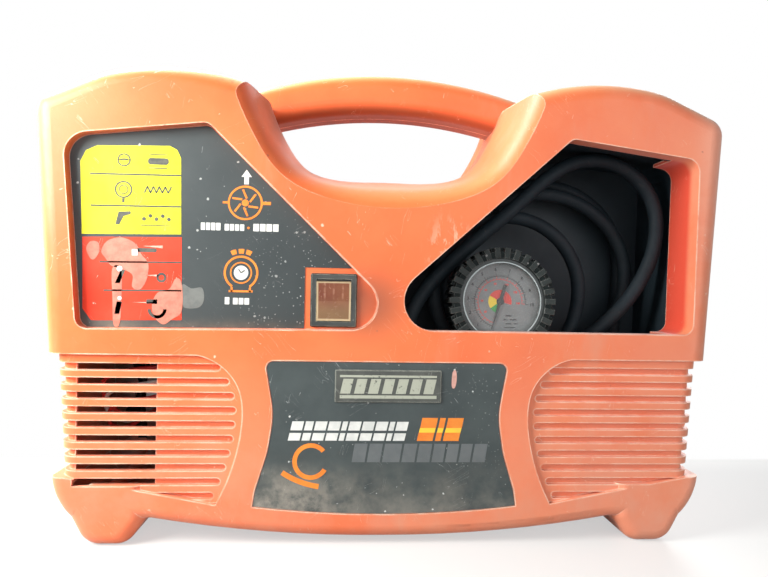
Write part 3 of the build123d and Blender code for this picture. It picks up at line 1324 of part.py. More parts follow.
with BuildPart() as bleed_button:
    with BuildSketch(stud_plane(BUTTON_X, BUTTON[1] - 9.0)):
        Circle(PLUNGER_R)
    extrude(amount=10.0)
    with BuildSketch(stud_plane(BUTTON_X, BUTTON[1])):
        Circle(BUTTON[0])
    extrude(amount=BUTTON[2] - BUTTON[1])
    chamfer(bleed_button.faces().sort_by(Axis.Z)[-1].edges(), 0.6)
bleed_button.part.label = "bleed_button"
export_step(bleed_button.part, "parts/bleed_button.step")

with BuildPart() as hose_ferrule:
    with BuildSketch(barrel_plane(FERRULE_X)):
        Circle(FERRULE_R)
        Circle(2.5, mode=Mode.SUBTRACT)
    extrude(amount=BARREL_X[0] - FERRULE_X)
    for x in (FERRULE_X + 4.0, FERRULE_X + 8.0):
        with BuildSketch(barrel_plane(x)):
            Circle(FERRULE_R + 1)
            Circle(FERRULE_R - 0.7, mode=Mode.SUBTRACT)
        extrude(amount=1.6, mode=Mode.SUBTRACT)
hose_ferrule.part.label = "hose_ferrule"
export_step(hose_ferrule.part, "parts/hose_ferrule.step")

with BuildPart() as tyre_chuck:
    with BuildSketch(barrel_plane(BARREL_X[1])):
        Circle(CHUCK[1])
    extrude(amount=CHUCK[0] - BARREL_X[1])
    chamfer(tyre_chuck.faces().sort_by(Axis.X)[-1].edges(), 1.0)
    with BuildSketch(barrel_plane(CHUCK[0] - 9.0)):
        Circle(CHUCK[2])
    extrude(amount=10.0, mode=Mode.SUBTRACT)
    with BuildSketch(barrel_plane(BARREL_X[1] - 1)):
        Circle(1.5)
    extrude(amount=12.0, mode=Mode.SUBTRACT)
tyre_chuck.part.label = "tyre_chuck"
export_step(tyre_chuck.part, "parts/tyre_chuck.step")

# ================= gauge =================

with BuildPart() as gauge_boot:
    with BuildSketch(gun_plane(BOOT_BACK)):
        Circle(BOOT_R)
    extrude(amount=-BOOT_BACK + 1.2)
    chamfer(gauge_boot.edges().filter_by(GeomType.CIRCLE), 1.2)
    with BuildSketch(gun_plane(BOOT_BACK + 2.0)):
        with PolarLocations(BOOT_R, TEETH):
            Rectangle(2 * (TOOTH_R - BOOT_R), 3.6)
    extrude(amount=-BOOT_BACK - 2.8)
    with BuildSketch(gun_plane(BOOT_BACK + 1.4)):
        Circle(CUP_R + 0.1)
    extrude(amount=-BOOT_BACK - 1.8, mode=Mode.SUBTRACT)
    with BuildSketch(gun_plane(BOOT_BACK - 1)):
        Circle(CUP_R - 2.4)
    extrude(amount=-BOOT_BACK + 4, mode=Mode.SUBTRACT)
    with BuildSketch(stud_plane(GUN_AT[0], gun_point(0, -BOOT_R - 4.0, BARREL_W)[2])):
        Circle(STEM_R + 0.4)
    extrude(amount=12.0, mode=Mode.SUBTRACT)
gauge_boot.part.label = "gauge_boot"
export_step(gauge_boot.part, "parts/gauge_boot.step")

with BuildPart() as gauge_case:
    with BuildSketch(gun_plane(CUP_BACK)):
        Circle(CUP_R)
    extrude(amount=-CUP_BACK - 3.0)
    with BuildSketch(stud_plane(GUN_AT[0], gun_point(0, BLOCK_TOP - 8.0, BARREL_W)[2])):
        Circle(STEM_R - 0.05)
    extrude(amount=-BLOCK_TOP + 8.0 - CUP_R + 2.0)
    with BuildSketch(gun_plane(CUP_BACK + 2.0)):
        Circle(CUP_R - 2.9)
    extrude(amount=-CUP_BACK, mode=Mode.SUBTRACT)
    with BuildSketch(stud_plane(GUN_AT[0], gun_point(0, BLOCK_TOP - 8.0, BARREL_W)[2] - 1)):
        Circle(1.6)
    extrude(amount=-BLOCK_TOP + 12.0 - CUP_R, mode=Mode.SUBTRACT)
gauge_case.part.label = "gauge_case"
export_step(gauge_case.part, "parts/gauge_case.step")

with BuildPart() as gauge_dial:
    with BuildSketch(gun_plane(DIAL_W)):
        Circle(DIAL_R)
        Circle(1.4, mode=Mode.SUBTRACT)
    extrude(amount=0.8)
gauge_dial.part.label = "gauge_dial"
export_step(gauge_dial.part, "parts/gauge_dial.step")

# the bent tube that opens under pressure, and the frame that carries the pointer's spindle
with BuildPart() as bourdon_tube:
    with BuildSketch(gun_plane(MOVEMENT_W)):
        Circle(25.0)
        Circle(21.5, mode=Mode.SUBTRACT)
        with Locations((-20.0, -14.0)):
            Rectangle(40.0, 20.0, mode=Mode.SUBTRACT)
    extrude(amount=5.0)
    with BuildSketch(gun_plane(MOVEMENT_W)):
        with Locations((0, -25.5)):
            Rectangle(12.0, 8.0)
    extrude(amount=5.0)
bourdon_tube.part.label = "bourdon_tube"
export_step(bourdon_tube.part, "parts/bourdon_tube.step")

with BuildPart() as gauge_movement:
    for w in (MOVEMENT_W, DIAL_W - 2.2):
        with BuildSketch(gun_plane(w)):
            RectangleRounded(18.0, 14.0, 3.0)
            Circle(0.85, mode=Mode.SUBTRACT)
        extrude(amount=0.9)
    with BuildSketch(gun_plane(MOVEMENT_W)):
        with Locations((-7.0, 0), (7.0, 0)):
            Circle(1.5)
    extrude(amount=4.5)
gauge_movement.part.label = "gauge_movement"
export_step(gauge_movement.part, "parts/gauge_movement.step")

with BuildPart() as gauge_pointer:
    turn = radians(POINTER_TURN)
    reach = (cos(turn), sin(turn))
    side = (-sin(turn), cos(turn))
    half = NEEDLE_WIDE / 2
    with BuildSketch(gun_plane(POINTER_W)):
        Circle(2.8)
        with BuildLine():
            Polyline(
                (half * side[0], half * side[1]),
                (NEEDLE * reach[0], NEEDLE * reach[1]),
                (-half * side[0], -half * side[1]),
                (-NEEDLE_TAIL * reach[0] - half * side[0], -NEEDLE_TAIL * reach[1] - half * side[1]),
                (-NEEDLE_TAIL * reach[0] + half * side[0], -NEEDLE_TAIL * reach[1] + half * side[1]),
                close=True,
            )
        make_face()
    extrude(amount=POINTER_THICK)
    with BuildSketch(gun_plane(MOVEMENT_W)):
        Circle(0.8)
    extrude(amount=POINTER_W - MOVEMENT_W)
gauge_pointer.part.label = "gauge_pointer"
export_step(gauge_pointer.part, "parts/gauge_pointer.step")

with BuildPart() as gauge_glass:
    with BuildSketch(gun_plane(-4.6)):
        Circle(GLASS_R)
    extrude(amount=1.6)
gauge_glass.part.label = "gauge_glass"
export_step(gauge_glass.part, "parts/gauge_glass.step")

with BuildPart() as gauge_bezel:
    with BuildSketch(gun_plane(-3.0)):
        Circle(BEZEL_R[1])
        Circle(BEZEL_R[0], mode=Mode.SUBTRACT)
    extrude(amount=2.5)
gauge_bezel.part.label = "gauge_bezel"
export_step(gauge_bezel.part, "parts/gauge_bezel.step")

# ================= hose =================

barrel_at = gun_point(0, BARREL_V, BARREL_W)
lead_route = (
    (OUTLET_AT[0], OUTLET_AT[1], BIN[0][1] + 20.0),
    (OUTLET_AT[0], OUTLET_AT[1], 140.0),
    (203.0, OUTLET_AT[1], 162.0),
)
tail_route = (
    (FERRULE_X, barrel_at[1], barrel_at[2]),
    (15.0, barrel_at[1], barrel_at[2]),
    (14.5, -54.0, 146.0),
    (28.0, -44.0, 178.0),
    (46.0, -44.0, 200.0),
)


def bends(route: tuple) -> list:
    """Radius of each bend of a route, as large as its shorter run allows."""
    radii = []
    for a, b, c in zip(route, route[1:], route[2:]):
        run, way = Vector(*b) - Vector(*a), Vector(*c) - Vector(*b)
        half_turn = radians(run.get_angle(way)) / 2
        radii.append(0.45 * min(run.length, way.length) / tan(half_turn))
    return radii


with BuildPart() as hose_coil:
    with BuildSketch(Plane.XZ.offset(-COIL_Y[1])):
        for x, z, r in COIL:
            with Locations((x, z)):
                Circle(r)
        make_hull()
        with Locations(COIL_HOLE[:2]):
            Circle(COIL_HOLE[2], mode=Mode.SUBTRACT)
    extrude(amount=COIL_Y[1] - COIL_Y[0])
    ends = hose_coil.faces().sort_by(Axis.Y)
    for end in (ends[0], ends[-1]):
        chamfer(end.outer_wire().edges(), COIL_EDGE)
hose_coil.part.label = "hose_coil"
export_step(hose_coil.part, "parts/hose_coil.step")

with BuildPart() as hose_lead:
    with BuildLine():
        FilletPolyline(*lead_route, radius=bends(lead_route))
    with BuildSketch(Plane.XY.offset(BIN[0][1] + 20.0)):
        with Locations(OUTLET_AT):
            Circle(HOSE_R)
    sweep()
hose_lead.part.label = "hose_lead"
export_step(hose_lead.part, "parts/hose_lead.step")

with BuildPart() as hose_tail:
    with BuildLine():
        FilletPolyline(*tail_route, radius=bends(tail_route))
    with BuildSketch(Plane(origin=tail_route[0], x_dir=(0, 1, 0), z_dir=(-1, 0, 0))):
        Circle(HOSE_R)
    sweep()
hose_tail.part.label = "hose_tail"
export_step(hose_tail.part, "parts/hose_tail.step")
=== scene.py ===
"""Looks of a worn suitcase air compressor: its finishes, its labels, its gauge face and its air hose."""

import json
import logging
import math
from dataclasses import dataclass, field
from enum import Enum
from typing import ClassVar

import bmesh
import bpy
from mathutils import Matrix, Vector


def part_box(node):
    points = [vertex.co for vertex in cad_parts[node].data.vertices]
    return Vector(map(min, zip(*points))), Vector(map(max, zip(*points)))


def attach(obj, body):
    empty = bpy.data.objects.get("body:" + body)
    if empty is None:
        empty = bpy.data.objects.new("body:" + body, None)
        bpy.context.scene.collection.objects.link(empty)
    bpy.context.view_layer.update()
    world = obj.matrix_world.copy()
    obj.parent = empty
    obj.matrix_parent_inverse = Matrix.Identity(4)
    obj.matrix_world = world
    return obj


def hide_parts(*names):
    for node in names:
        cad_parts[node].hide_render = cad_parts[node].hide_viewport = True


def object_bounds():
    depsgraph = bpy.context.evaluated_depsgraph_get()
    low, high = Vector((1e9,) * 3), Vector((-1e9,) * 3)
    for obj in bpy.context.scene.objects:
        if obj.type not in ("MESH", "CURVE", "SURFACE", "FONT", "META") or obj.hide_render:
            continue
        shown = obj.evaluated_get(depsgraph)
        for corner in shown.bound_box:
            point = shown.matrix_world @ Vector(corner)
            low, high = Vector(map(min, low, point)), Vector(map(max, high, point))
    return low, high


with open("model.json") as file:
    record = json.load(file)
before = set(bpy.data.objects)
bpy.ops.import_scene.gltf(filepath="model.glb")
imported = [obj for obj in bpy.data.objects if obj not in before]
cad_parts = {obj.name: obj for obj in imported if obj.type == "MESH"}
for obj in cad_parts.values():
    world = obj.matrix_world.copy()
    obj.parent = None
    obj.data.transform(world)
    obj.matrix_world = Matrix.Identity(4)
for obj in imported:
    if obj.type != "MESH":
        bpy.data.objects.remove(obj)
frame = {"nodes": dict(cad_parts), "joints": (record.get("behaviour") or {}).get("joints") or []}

log = logging.getLogger("compressor")
Colour = tuple[float, float, float]
Span = tuple[float, float]
Outline = list[tuple[float, float]]
Socket = bpy.types.NodeSocket
Outputs = bpy.types.bpy_prop_collection
MM = 0.001
HOUSING = "housing"
CASE_LOW, CASE_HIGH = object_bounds()
CASE_SIZE = CASE_HIGH - CASE_LOW
SCRATCH_DEPTH, SPECK_DEPTH = 0.6, 0.85  # how strongly a scratch and a speck cover what is under them
ROUGH_SPREAD, DUST_ROUGHNESS = 0.16, 0.3  # how much roughness wanders, and what dust adds to it


# ---------------------------------------------------------------- node wiring


@dataclass
class Graph:
    """A node tree while it is being wired, for a material or for a shared effect."""

    tree: bpy.types.NodeTree

    def feed(self, socket: Socket, value: object) -> None:
        """Links a socket to an input, or sets the input to a plain value."""
        if isinstance(value, bpy.types.NodeSocket):
            self.tree.links.new(value, socket)
        else:
            socket.default_value = value

    def node(self, kind: str, **values: object) -> bpy.types.Node:
        """Adds a node.

        Args:
            kind: The node's type without its common prefix.
            values: Properties of the node, and input sockets by name with spaces as underscores.

        Returns:
            The new node.
        """
        made = self.tree.nodes.new("ShaderNode" + kind)
        for key, value in values.items():
            if hasattr(made, key) and key != "color":
                setattr(made, key, value)
            else:
                self.feed(made.inputs[key.replace("_", " ")], value)
        return made

    def join(self, source: Socket, target: Socket) -> None:
        """Links one socket to another."""
        self.tree.links.new(source, target)

    def math(
        self, operation: str, a: object, b: object = 0.0, c: object = 0.0, clamp: bool = False,
    ) -> Socket:
        """Adds a math node.

        Args:
            operation: Name of the operation.
            a: First value or socket.
            b: Second value or socket.
            c: Third value or socket.
            clamp: Whether the result is held between 0 and 1.

        Returns:
            The result's socket.
        """
        made = self.node("Math", operation=operation, use_clamp=clamp)
        for socket, value in zip(made.inputs, (a, b, c)):
            self.feed(socket, value)
        return made.outputs[0]

    def times(self, first: object, *others: object) -> Socket:
        """Multiplies values and sockets together."""
        for other in others:
            first = self.math("MULTIPLY", first, other)
        return first

    def most(self, first: object, second: object) -> Socket:
        """The greater of two values."""
        return self.math("MAXIMUM", first, second)

    def off(self, value: object, middle: object) -> Socket:
        """How far a value lies from a middle."""
        return self.math("ABSOLUTE", self.math("SUBTRACT", value, middle))

    def mix(self, factor: object, a: object, b: object) -> Socket:
        """Mixes two colours.

        Args:
            factor: Share of the second colour.
            a: First colour or socket.
            b: Second colour or socket.

        Returns:
            The mixed colour's socket.
        """
        made = self.node("Mix", data_type="RGBA")
        for index, value in ((0, factor), (6, a), (7, b)):
            self.feed(made.inputs[index], (*value, 1.0) if isinstance(value, tuple) else value)
        return made.outputs[2]

    def lay(self, colour: Socket, over: Colour, *shares: object) -> Socket:
        """Lays a colour over another by the product of some shares."""
        return self.mix(self.times(*shares), colour, over)

    def ramp(self, value: Socket, low: object, high: object, smooth: bool = True) -> Socket:
        """Stretches a value so that low becomes 0 and high becomes 1.

        Args:
            value: Socket to stretch.
            low: Value that becomes 0.
            high: Value that becomes 1.
            smooth: Whether the ends ease in and out.

        Returns:
            The stretched value's socket.
        """
        ease = "SMOOTHSTEP" if smooth else "LINEAR"
        made = self.node("MapRange", interpolation_type=ease, Value=value, From_Min=low, From_Max=high)
        return made.outputs["Result"]

    def place(self) -> Socket:
        """Position in the object's own axes, in metres."""
        return self.node("TexCoord").outputs["Object"]

    def xyz(self, vector: Socket | None = None) -> Outputs:
        """Splits a vector, or else the position in the object's own axes, into X, Y and Z."""
        return self.node("SeparateXYZ", Vector=self.place() if vector is None else vector).outputs

    def noise(
        self, scale: object, detail: float = 3.0, rough: float = 0.5,
        stretch: Colour | None = None, spot: Socket | None = None,
    ) -> Socket:
        """Noise over the object's own axes.

        Args:
            scale: Cells per metre.
            detail: Octaves.
            rough: Share of each finer octave.
            stretch: Scale along each axis, where they differ.
            spot: Where to read the noise, if not at the object's own axes.

        Returns:
            The noise value's socket.
        """
        spot = self.place() if spot is None else spot
        if stretch:
            spot = self.node("Mapping", Scale=stretch, Vector=spot).outputs[0]
        return self.node("TexNoise", Scale=scale, Detail=detail, Roughness=rough, Vector=spot).outputs["Fac"]


# ---------------------------------------------------------------- shared effects


class Effect:
    """A shader node group with named inputs, where None is a vector, and one value as its output."""

    title: ClassVar[str]
    inputs: ClassVar[dict[str, float | None]]
    output: ClassVar[str] = "Mask"

    def wire(self, graph: Graph, given: Outputs) -> Socket:
        """Wires the group from its inputs to the value that it hands out."""
        raise NotImplementedError

    def build(self) -> bpy.types.NodeTree:
        """Makes the group with its sockets and wires it.

        Returns:
            The group's tree.
        """
        tree = bpy.data.node_groups.new(self.title, "ShaderNodeTree")
        for name, value in self.inputs.items():
            kind = "NodeSocketVector" if value is None else "NodeSocketFloat"
            socket = tree.interface.new_socket(name, in_out="INPUT", socket_type=kind)
            if value is not None:
                socket.default_value = value
        tree.interface.new_socket(self.output, in_out="OUTPUT", socket_type="NodeSocketFloat")
        given, result = tree.nodes.new("NodeGroupInput"), tree.nodes.new("NodeGroupOutput")
        graph = Graph(tree)
        graph.join(self.wire(graph, given.outputs), result.inputs[self.output])
        return tree


class EdgeWear(Effect):
    """Mask of rounded edges, from the rounded normal that the material hands in: rubbed wear on most
    finishes, a painted highlight on the edges of the switch, the rocker, the gauge bezel and the boot ribs.
    """

    title = "Edge wear and highlight"
    inputs = {"Rounded Normal": None, "Breakup": 90.0, "Amount": 1.0}
    bend: ClassVar[Span] = (0.004, 0.09)

    def wire(self, graph: Graph, given: Outputs) -> Socket:
        """Takes the angle between the rounded and the true normal, broken up by noise."""
        dot = graph.node("VectorMath", operation="DOT_PRODUCT")
        graph.join(given["Rounded Normal"], dot.inputs[0])
        graph.join(graph.node("NewGeometry").outputs["Normal"], dot.inputs[1])
        bend = graph.ramp(graph.math("SUBTRACT", 1.0, dot.outputs["Value"]), *self.bend)
        broken = graph.ramp(graph.noise(given["Breakup"], 4.0, 0.65), 0.33, 0.6)
        mask = graph.times(bend, graph.math("MULTIPLY_ADD", broken, 0.75, 0.25))
        return graph.math("MULTIPLY", mask, given["Amount"], clamp=True)


class Specks(Effect):
    """Small round flecks of dirt or paint."""

    title = "Specks"
    inputs = {"Scale": 200.0, "Size": 0.2, "Share": 0.2}
    nudge: ClassVar[Colour] = (0.0012, 0.0012, 0.0012)

    def wire(self, graph: Graph, given: Outputs) -> Socket:
        """Puts one fleck in each cell whose random value is under the share."""
        bent = graph.node("TexNoise", Scale=900.0, Detail=2.0, Vector=graph.place())
        nudged = graph.node("VectorMath", operation="MULTIPLY_ADD")
        for socket, value in zip(nudged.inputs, (bent.outputs["Color"], self.nudge, graph.place())):
            graph.feed(socket, value)
        cells = graph.node("TexVoronoi", feature="F1", Scale=given["Scale"], Vector=nudged.outputs[0])
        parts = graph.node("SeparateColor", Color=cells.outputs["Color"]).outputs
        radius = graph.times(given["Size"], graph.math("MULTIPLY_ADD", parts[1], 0.8, 0.3))
        fleck = graph.ramp(graph.math("SUBTRACT", radius, cells.outputs["Distance"]), 0.0, 0.05)
        return graph.times(fleck, graph.math("LESS_THAN", parts[0], given["Share"]))


class Scratches(Effect):
    """Fine scratches that run in three crossing directions."""

    title = "Scratches"
    inputs = {"Scale": 130.0, "Share": 0.2, "Fineness": 0.014}
    # turn and seed of each direction
    turns: ClassVar[tuple[Span, ...]] = ((0.5, 0.0), (-0.85, 3.7), (1.35, 8.1))

    def wire(self, graph: Graph, given: Outputs) -> Socket:
        """Finds thin bands of turned and stretched noises, here and there."""
        found = None
        for turn, seed in self.turns:
            place = graph.place()
            spin = graph.node("Mapping", Rotation=(0.0, turn, 0.0), Location=(seed,) * 3, Vector=place)
            lines = graph.noise(given["Scale"], 2.0, 0.6, (0.12, 0.4, 1.0), spin.outputs[0])
            thin = graph.math("LESS_THAN", graph.off(lines, 0.5), graph.times(given["Fineness"], 0.12))
            where = graph.noise(30.0 + 5.0 * seed, 1.0)
            gate = graph.math("LESS_THAN", where, graph.math("MULTIPLY_ADD", given["Share"], 0.5, 0.25))
            here = graph.times(thin, gate)
            found = here if found is None else graph.most(found, here)
        return found


class Dust(Effect):
    """Cloudy film of dust that thickens towards the floor."""

    title = "Dust"
    inputs = {"Top": 0.1, "Foot": 0.0, "Cloud": 40.0}

    def wire(self, graph: Graph, given: Outputs) -> Socket:
        """Takes the height between the top and the foot, times a cloud."""
        height = graph.ramp(graph.xyz()["Z"], given["Top"], given["Foot"])
        thick = graph.ramp(graph.noise(given["Cloud"], 6.0, 0.62), 0.32, 0.72)
        return graph.math("MULTIPLY", height, thick, clamp=True)


class Grain(Effect):
    """Height of a fine moulded or cast grain."""

    title = "Grain"
    inputs = {"Scale": 900.0, "Ripple": 0.3}
    output = "Height"

    def wire(self, graph: Graph, given: Outputs) -> Socket:
        """Lays a fine noise over a slow ripple."""
        fine = graph.noise(given["Scale"], 4.0, 0.6)
        return graph.math("MULTIPLY_ADD", graph.noise(25.0, 2.0), given["Ripple"], fine)


class Shared(Enum):
    """The shared effects that a finish may place."""

    EDGE = EdgeWear
    SPECKS = Specks
    SCRATCHES = Scratches
    DUST = Dust
    GRAIN = Grain

    def placed(self, graph: Graph, **values: object) -> Socket:
        """Places the effect in a material; its group is built on first use.

        Args:
            graph: The material's graph.
            values: Input values by name, with spaces as underscores.

        Returns:
            What the effect hands out.
        """
        effect = self.value()
        made = graph.node("Group", node_tree=bpy.data.node_groups.get(effect.title) or effect.build())
        for key, value in values.items():
            graph.feed(made.inputs[key.replace("_", " ")], value)
        return made.outputs[0]


# ---------------------------------------------------------------- finishes


def blank(title: str) -> tuple[bpy.types.Material, Graph, Outputs]:
    """Makes a plain material.

    Args:
        title: Its name.

    Returns:
        The material, its graph and the inputs of its surface shader.
    """
    made = bpy.data.materials.new(title)
    made.use_nodes = True
    return made, Graph(made.node_tree), made.node_tree.nodes["Principled BSDF"].inputs


def case_spot(across: float, back: float, up: float) -> Vector:
    """Point of the case: shares of its width and height, and metres behind its front."""
    return Vector((CASE_LOW.x + across * CASE_SIZE.x, CASE_LOW.y + back, CASE_LOW.z + up * CASE_SIZE.z))


@dataclass(frozen=True)
class Finish:
    """A plain finish: one colour with mottling, pale edges, specks, scratches, dust and grain; the pale edges
    are wear on most finishes and a painted highlight on a few.
    """

    title: str
    colour: Colour
    second: Colour
    rough: float = 0.5
    metallic: float = 0.0
    specular: float = 0.5
    mottle: float = 60.0
    # colour of the pale edges: wear on most finishes, a painted highlight on the switch, the rocker, the
    # gauge bezel and the boot ribs
    worn: Colour | None = None
    wear: float = 0.7
    wear_radius: float = 0.0008
    speck: Colour | None = None
    speck_scale: float = 220.0
    speck_share: float = 0.12
    speck_size: float = 0.22
    scratch: Colour | None = None
    scratch_share: float = 0.3
    dust: Colour | None = None
    dust_top: float = 0.2
    dust_foot: float = -0.1
    dust_share: float = 0.6
    grain: float = 900.0
    bump: float = 0.00006
    coat: float = 0.0
    sheen: float = 0.0
    sheen_rough: float = 0.35

    def colours(self, graph: Graph) -> tuple[Socket, Socket | None]:
        """Wires the colour.

        Args:
            graph: The material's graph.

        Returns:
            The colour's socket, and the mask of dusty places, which are rougher.
        """
        colour = graph.mix(graph.ramp(graph.noise(self.mottle, 5.0, 0.6), 0.3, 0.7), self.colour, self.second)
        dusty = None
        if self.worn:
            bevel = graph.node("Bevel", samples=4, Radius=self.wear_radius)
            edge = Shared.EDGE.placed(graph, Rounded_Normal=bevel.outputs[0], Amount=self.wear)
            colour = graph.lay(colour, self.worn, edge)
        if self.scratch:
            marks = Shared.SCRATCHES.placed(graph, Share=self.scratch_share)
            colour = graph.lay(colour, self.scratch, marks, SCRATCH_DEPTH)
        if self.dust:
            dusty = Shared.DUST.placed(graph, Top=self.dust_top, Foot=self.dust_foot)
            dusty = graph.times(dusty, self.dust_share)
            colour = graph.lay(colour, self.dust, dusty)
        if self.speck:
            size = {"Scale": self.speck_scale, "Size": self.speck_size, "Share": self.speck_share}
            colour = graph.lay(colour, self.speck, Shared.SPECKS.placed(graph, **size), SPECK_DEPTH)
        return colour, dusty

    def about(self, graph: Graph, node: str) -> tuple[Socket, Socket, Vector]:
        """Finds where a place lies from the middle of a carried piece.

        Args:
            graph: The material's graph.
            node: The piece's name.

        Returns:
            Its way across and up from the middle, and half the piece's size.
        """
        low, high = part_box(node)
        centre, spot = (low + high) / 2, graph.xyz()
        x, z = (graph.math("SUBTRACT", spot[axis], getattr(centre, axis.lower())) for axis in "XZ")
        return x, z, (high - low) / 2

    def material(self) -> bpy.types.Material:
        """Makes the finish's material, on first use.

        Returns:
            The material.
        """
        known = bpy.data.materials.get(self.title)
        if known:
            return known
        made, graph, inputs = blank(self.title)
        colour, dusty = self.colours(graph)
        least = self.rough - ROUGH_SPREAD / 2
        rough = graph.math("MULTIPLY_ADD", graph.noise(self.mottle * 3, 3.0), ROUGH_SPREAD, least)
        if dusty is not None:
            rough = graph.math("ADD", rough, graph.times(dusty, DUST_ROUGHNESS), clamp=True)
        grain = Shared.GRAIN.placed(graph, Scale=self.grain)
        bump = graph.node("Bump", Distance=self.bump, Strength=1.0, Height=grain)
        for name, value in (
            ("Base Color", colour), ("Metallic", self.metallic), ("Specular IOR Level", self.specular),
            ("Coat Weight", self.coat), ("Roughness", rough), ("Normal", bump.outputs[0]),
        ):
            graph.feed(inputs[name], value)
        if self.sheen:
            inputs["Sheen Weight"].default_value = self.sheen
            inputs["Sheen Roughness"].default_value = self.sheen_rough
        return made


@dataclass(frozen=True)
class ShellFinish(Finish):
    """Orange moulded shell: a painted highlight on its top and outer sides, a painted haze of glare towards
    its right, painted shade in its window and round its handle, grime and painted shade beside its switch,
    dust low down, and pale along its rubbed edges.
    """

    # pale colour of the painted highlight on upward and outward faces
    faded: Colour = (0.95, 0.46, 0.17)
    grimy: Colour = (0.62, 0.36, 0.25)
    # colour of the blotchy painted shadow where the handle meets the left lobe
    dark: Colour = (0.08, 0.05, 0.04)
    # pale colour of the dust low down and of the painted glare towards the right
    dry: Colour = (0.88, 0.5, 0.38)
    # red of the painted shade on the window's recessed sides
    deep: Colour = (0.76, 0.085, 0.045)
    # colour of the painted shade on the left lobe's inner side and under the handle, and of grime and painted
    # shade beside the switch
    sooty: Colour = (0.27, 0.075, 0.035)
    scuffed: Colour = (0.95, 0.62, 0.45)
    pitted: Colour = (0.42, 0.12, 0.07)
    flecked: Colour = (0.95, 0.66, 0.5)
    # where the painted shade of the window's collar and right side grows from nothing to full along each
    # axis, in metres
    collar_y: Span = (0.008, 0.016)  # from the front face
    wall_x: tuple[Span, Span] = ((0.1, 0.13), (0.235, 0.231))
    wall_z: tuple[Span, Span] = ((0.143, 0.15), (0.292, 0.288))

    def near(self, graph: Graph, spot: Vector, reach: Colour) -> Socket:
        """Mask that is 1 at a spot and falls to 0 at its reach.

        Args:
            graph: The material's graph.
            spot: Centre of the mask.
            reach: Distance to 0 along each axis.

        Returns:
            The mask's socket.
        """
        shift = graph.node("Mapping", vector_type="TEXTURE", Location=spot, Scale=reach, Vector=graph.place())
        length = graph.node("VectorMath", operation="LENGTH")
        graph.join(shift.outputs[0], length.inputs[0])
        return graph.ramp(length.outputs["Value"], 1.0, 0.0)

    def weathered(
        self, graph: Graph, colour: Socket, spot: Outputs, normal: Outputs,
    ) -> tuple[Socket, Socket]:
        """Lightens upward and outward faces as a painted highlight, dusts the colour low down and paints a
        haze of glare towards the right.

        Args:
            graph: The material's graph.
            colour: The fresh colour.
            spot: X, Y and Z of the place.
            normal: X, Y and Z of the surface's direction.

        Returns:
            The weathered colour, and the mask of its grime.
        """
        tall, wide = CASE_SIZE.z, CASE_HIGH.x
        # painted highlight: upward faces lighten, most near the top, and so do faces turned outward
        high_up = graph.math("MULTIPLY_ADD", graph.ramp(spot["Z"], 0.78 * tall, 0.88 * tall), 0.75, 0.25)
        up = graph.times(graph.ramp(normal["Z"], 0.25, 0.95), high_up, 0.8)
        outward = graph.times(normal["X"], graph.math("SIGN", spot["X"]))
        side = graph.times(graph.ramp(outward, 0.35, 1.0), 0.55)
        colour = graph.lay(colour, self.faded, graph.most(up, side))
        grime = graph.times(Shared.DUST.placed(graph, Top=0.42 * tall, Foot=-0.1 * tall, Cloud=26.0), 0.4)
        colour = graph.lay(colour, self.grimy, grime)
        streaks = graph.ramp(graph.noise(10.0, 6.0, 0.7, (1.0, 1.0, 0.25)), 0.56, 0.74)
        colour = graph.lay(colour, self.grimy, streaks, 0.3)
        # pale dust low down, and a painted haze of glare that grows towards the right edge
        foot = graph.times(graph.ramp(spot["Z"], 0.45 * tall, 0.12 * tall), 0.16)
        right = graph.times(graph.ramp(spot["X"], 0.0, wide), 0.24)
        right = graph.math("MULTIPLY_ADD", graph.ramp(spot["X"], 0.86 * wide, wide), 0.4, right)
        cloud = graph.math("MULTIPLY_ADD", graph.ramp(graph.noise(18.0, 6.0, 0.65), 0.25, 0.6), 0.6, 0.4)
        return graph.lay(colour, self.dry, graph.math("ADD", foot, right), cloud), grime

    def deepened(self, graph: Graph, colour: Socket, spot: Outputs, normal: Outputs) -> Socket:
        """Paints shade on the window's recessed sides, on the left lobe's inner side and under the handle,
        and darkens the pocket right of the switch with grime and painted shade.

        Args:
            graph: The material's graph.
            colour: The colour so far, with its painted highlight, dust and painted glare.
            spot: X, Y and Z of the place.
            normal: X, Y and Z of the surface's direction.

        Returns:
            The colour with its painted shade and grime.
        """
        front, tall = CASE_LOW.y, CASE_SIZE.z
        # painted shade on the window's recessed sides, behind the front face
        walls = [graph.math("LESS_THAN", spot["Y"], 0.0)]
        walls.append(graph.ramp(spot["Y"], *(front + y for y in self.collar_y)))
        walls += [graph.ramp(spot["X"], *span) for span in self.wall_x]
        walls += [graph.ramp(spot["Z"], *span) for span in self.wall_z]
        colour = graph.lay(colour, self.deep, *walls)
        # grime and painted shade in the pocket right of the switch
        switch_low, switch_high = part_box("switch_body")
        beside = Vector((switch_high.x + 0.004, front, (switch_low.z + switch_high.z) / 2 - 0.002))
        colour = graph.lay(colour, self.sooty, self.near(graph, beside, (0.045, 0.03, 0.035)), 0.9)
        # painted shade on the left lobe's inner side, which faces right, and on downward faces under the
        # handle
        inner = case_spot(0.325, 0.3 * CASE_SIZE.y, 0.89)
        flank = graph.times(self.near(graph, inner, (0.04, 0.06, 0.05)), graph.ramp(normal["X"], 0.2, 0.7))
        under = graph.ramp(normal["Z"], -0.3, -0.85)
        under = graph.times(under, graph.ramp(spot["Z"], 0.8 * tall, 0.84 * tall))
        return graph.lay(colour, self.sooty, graph.most(flank, under), 0.9)

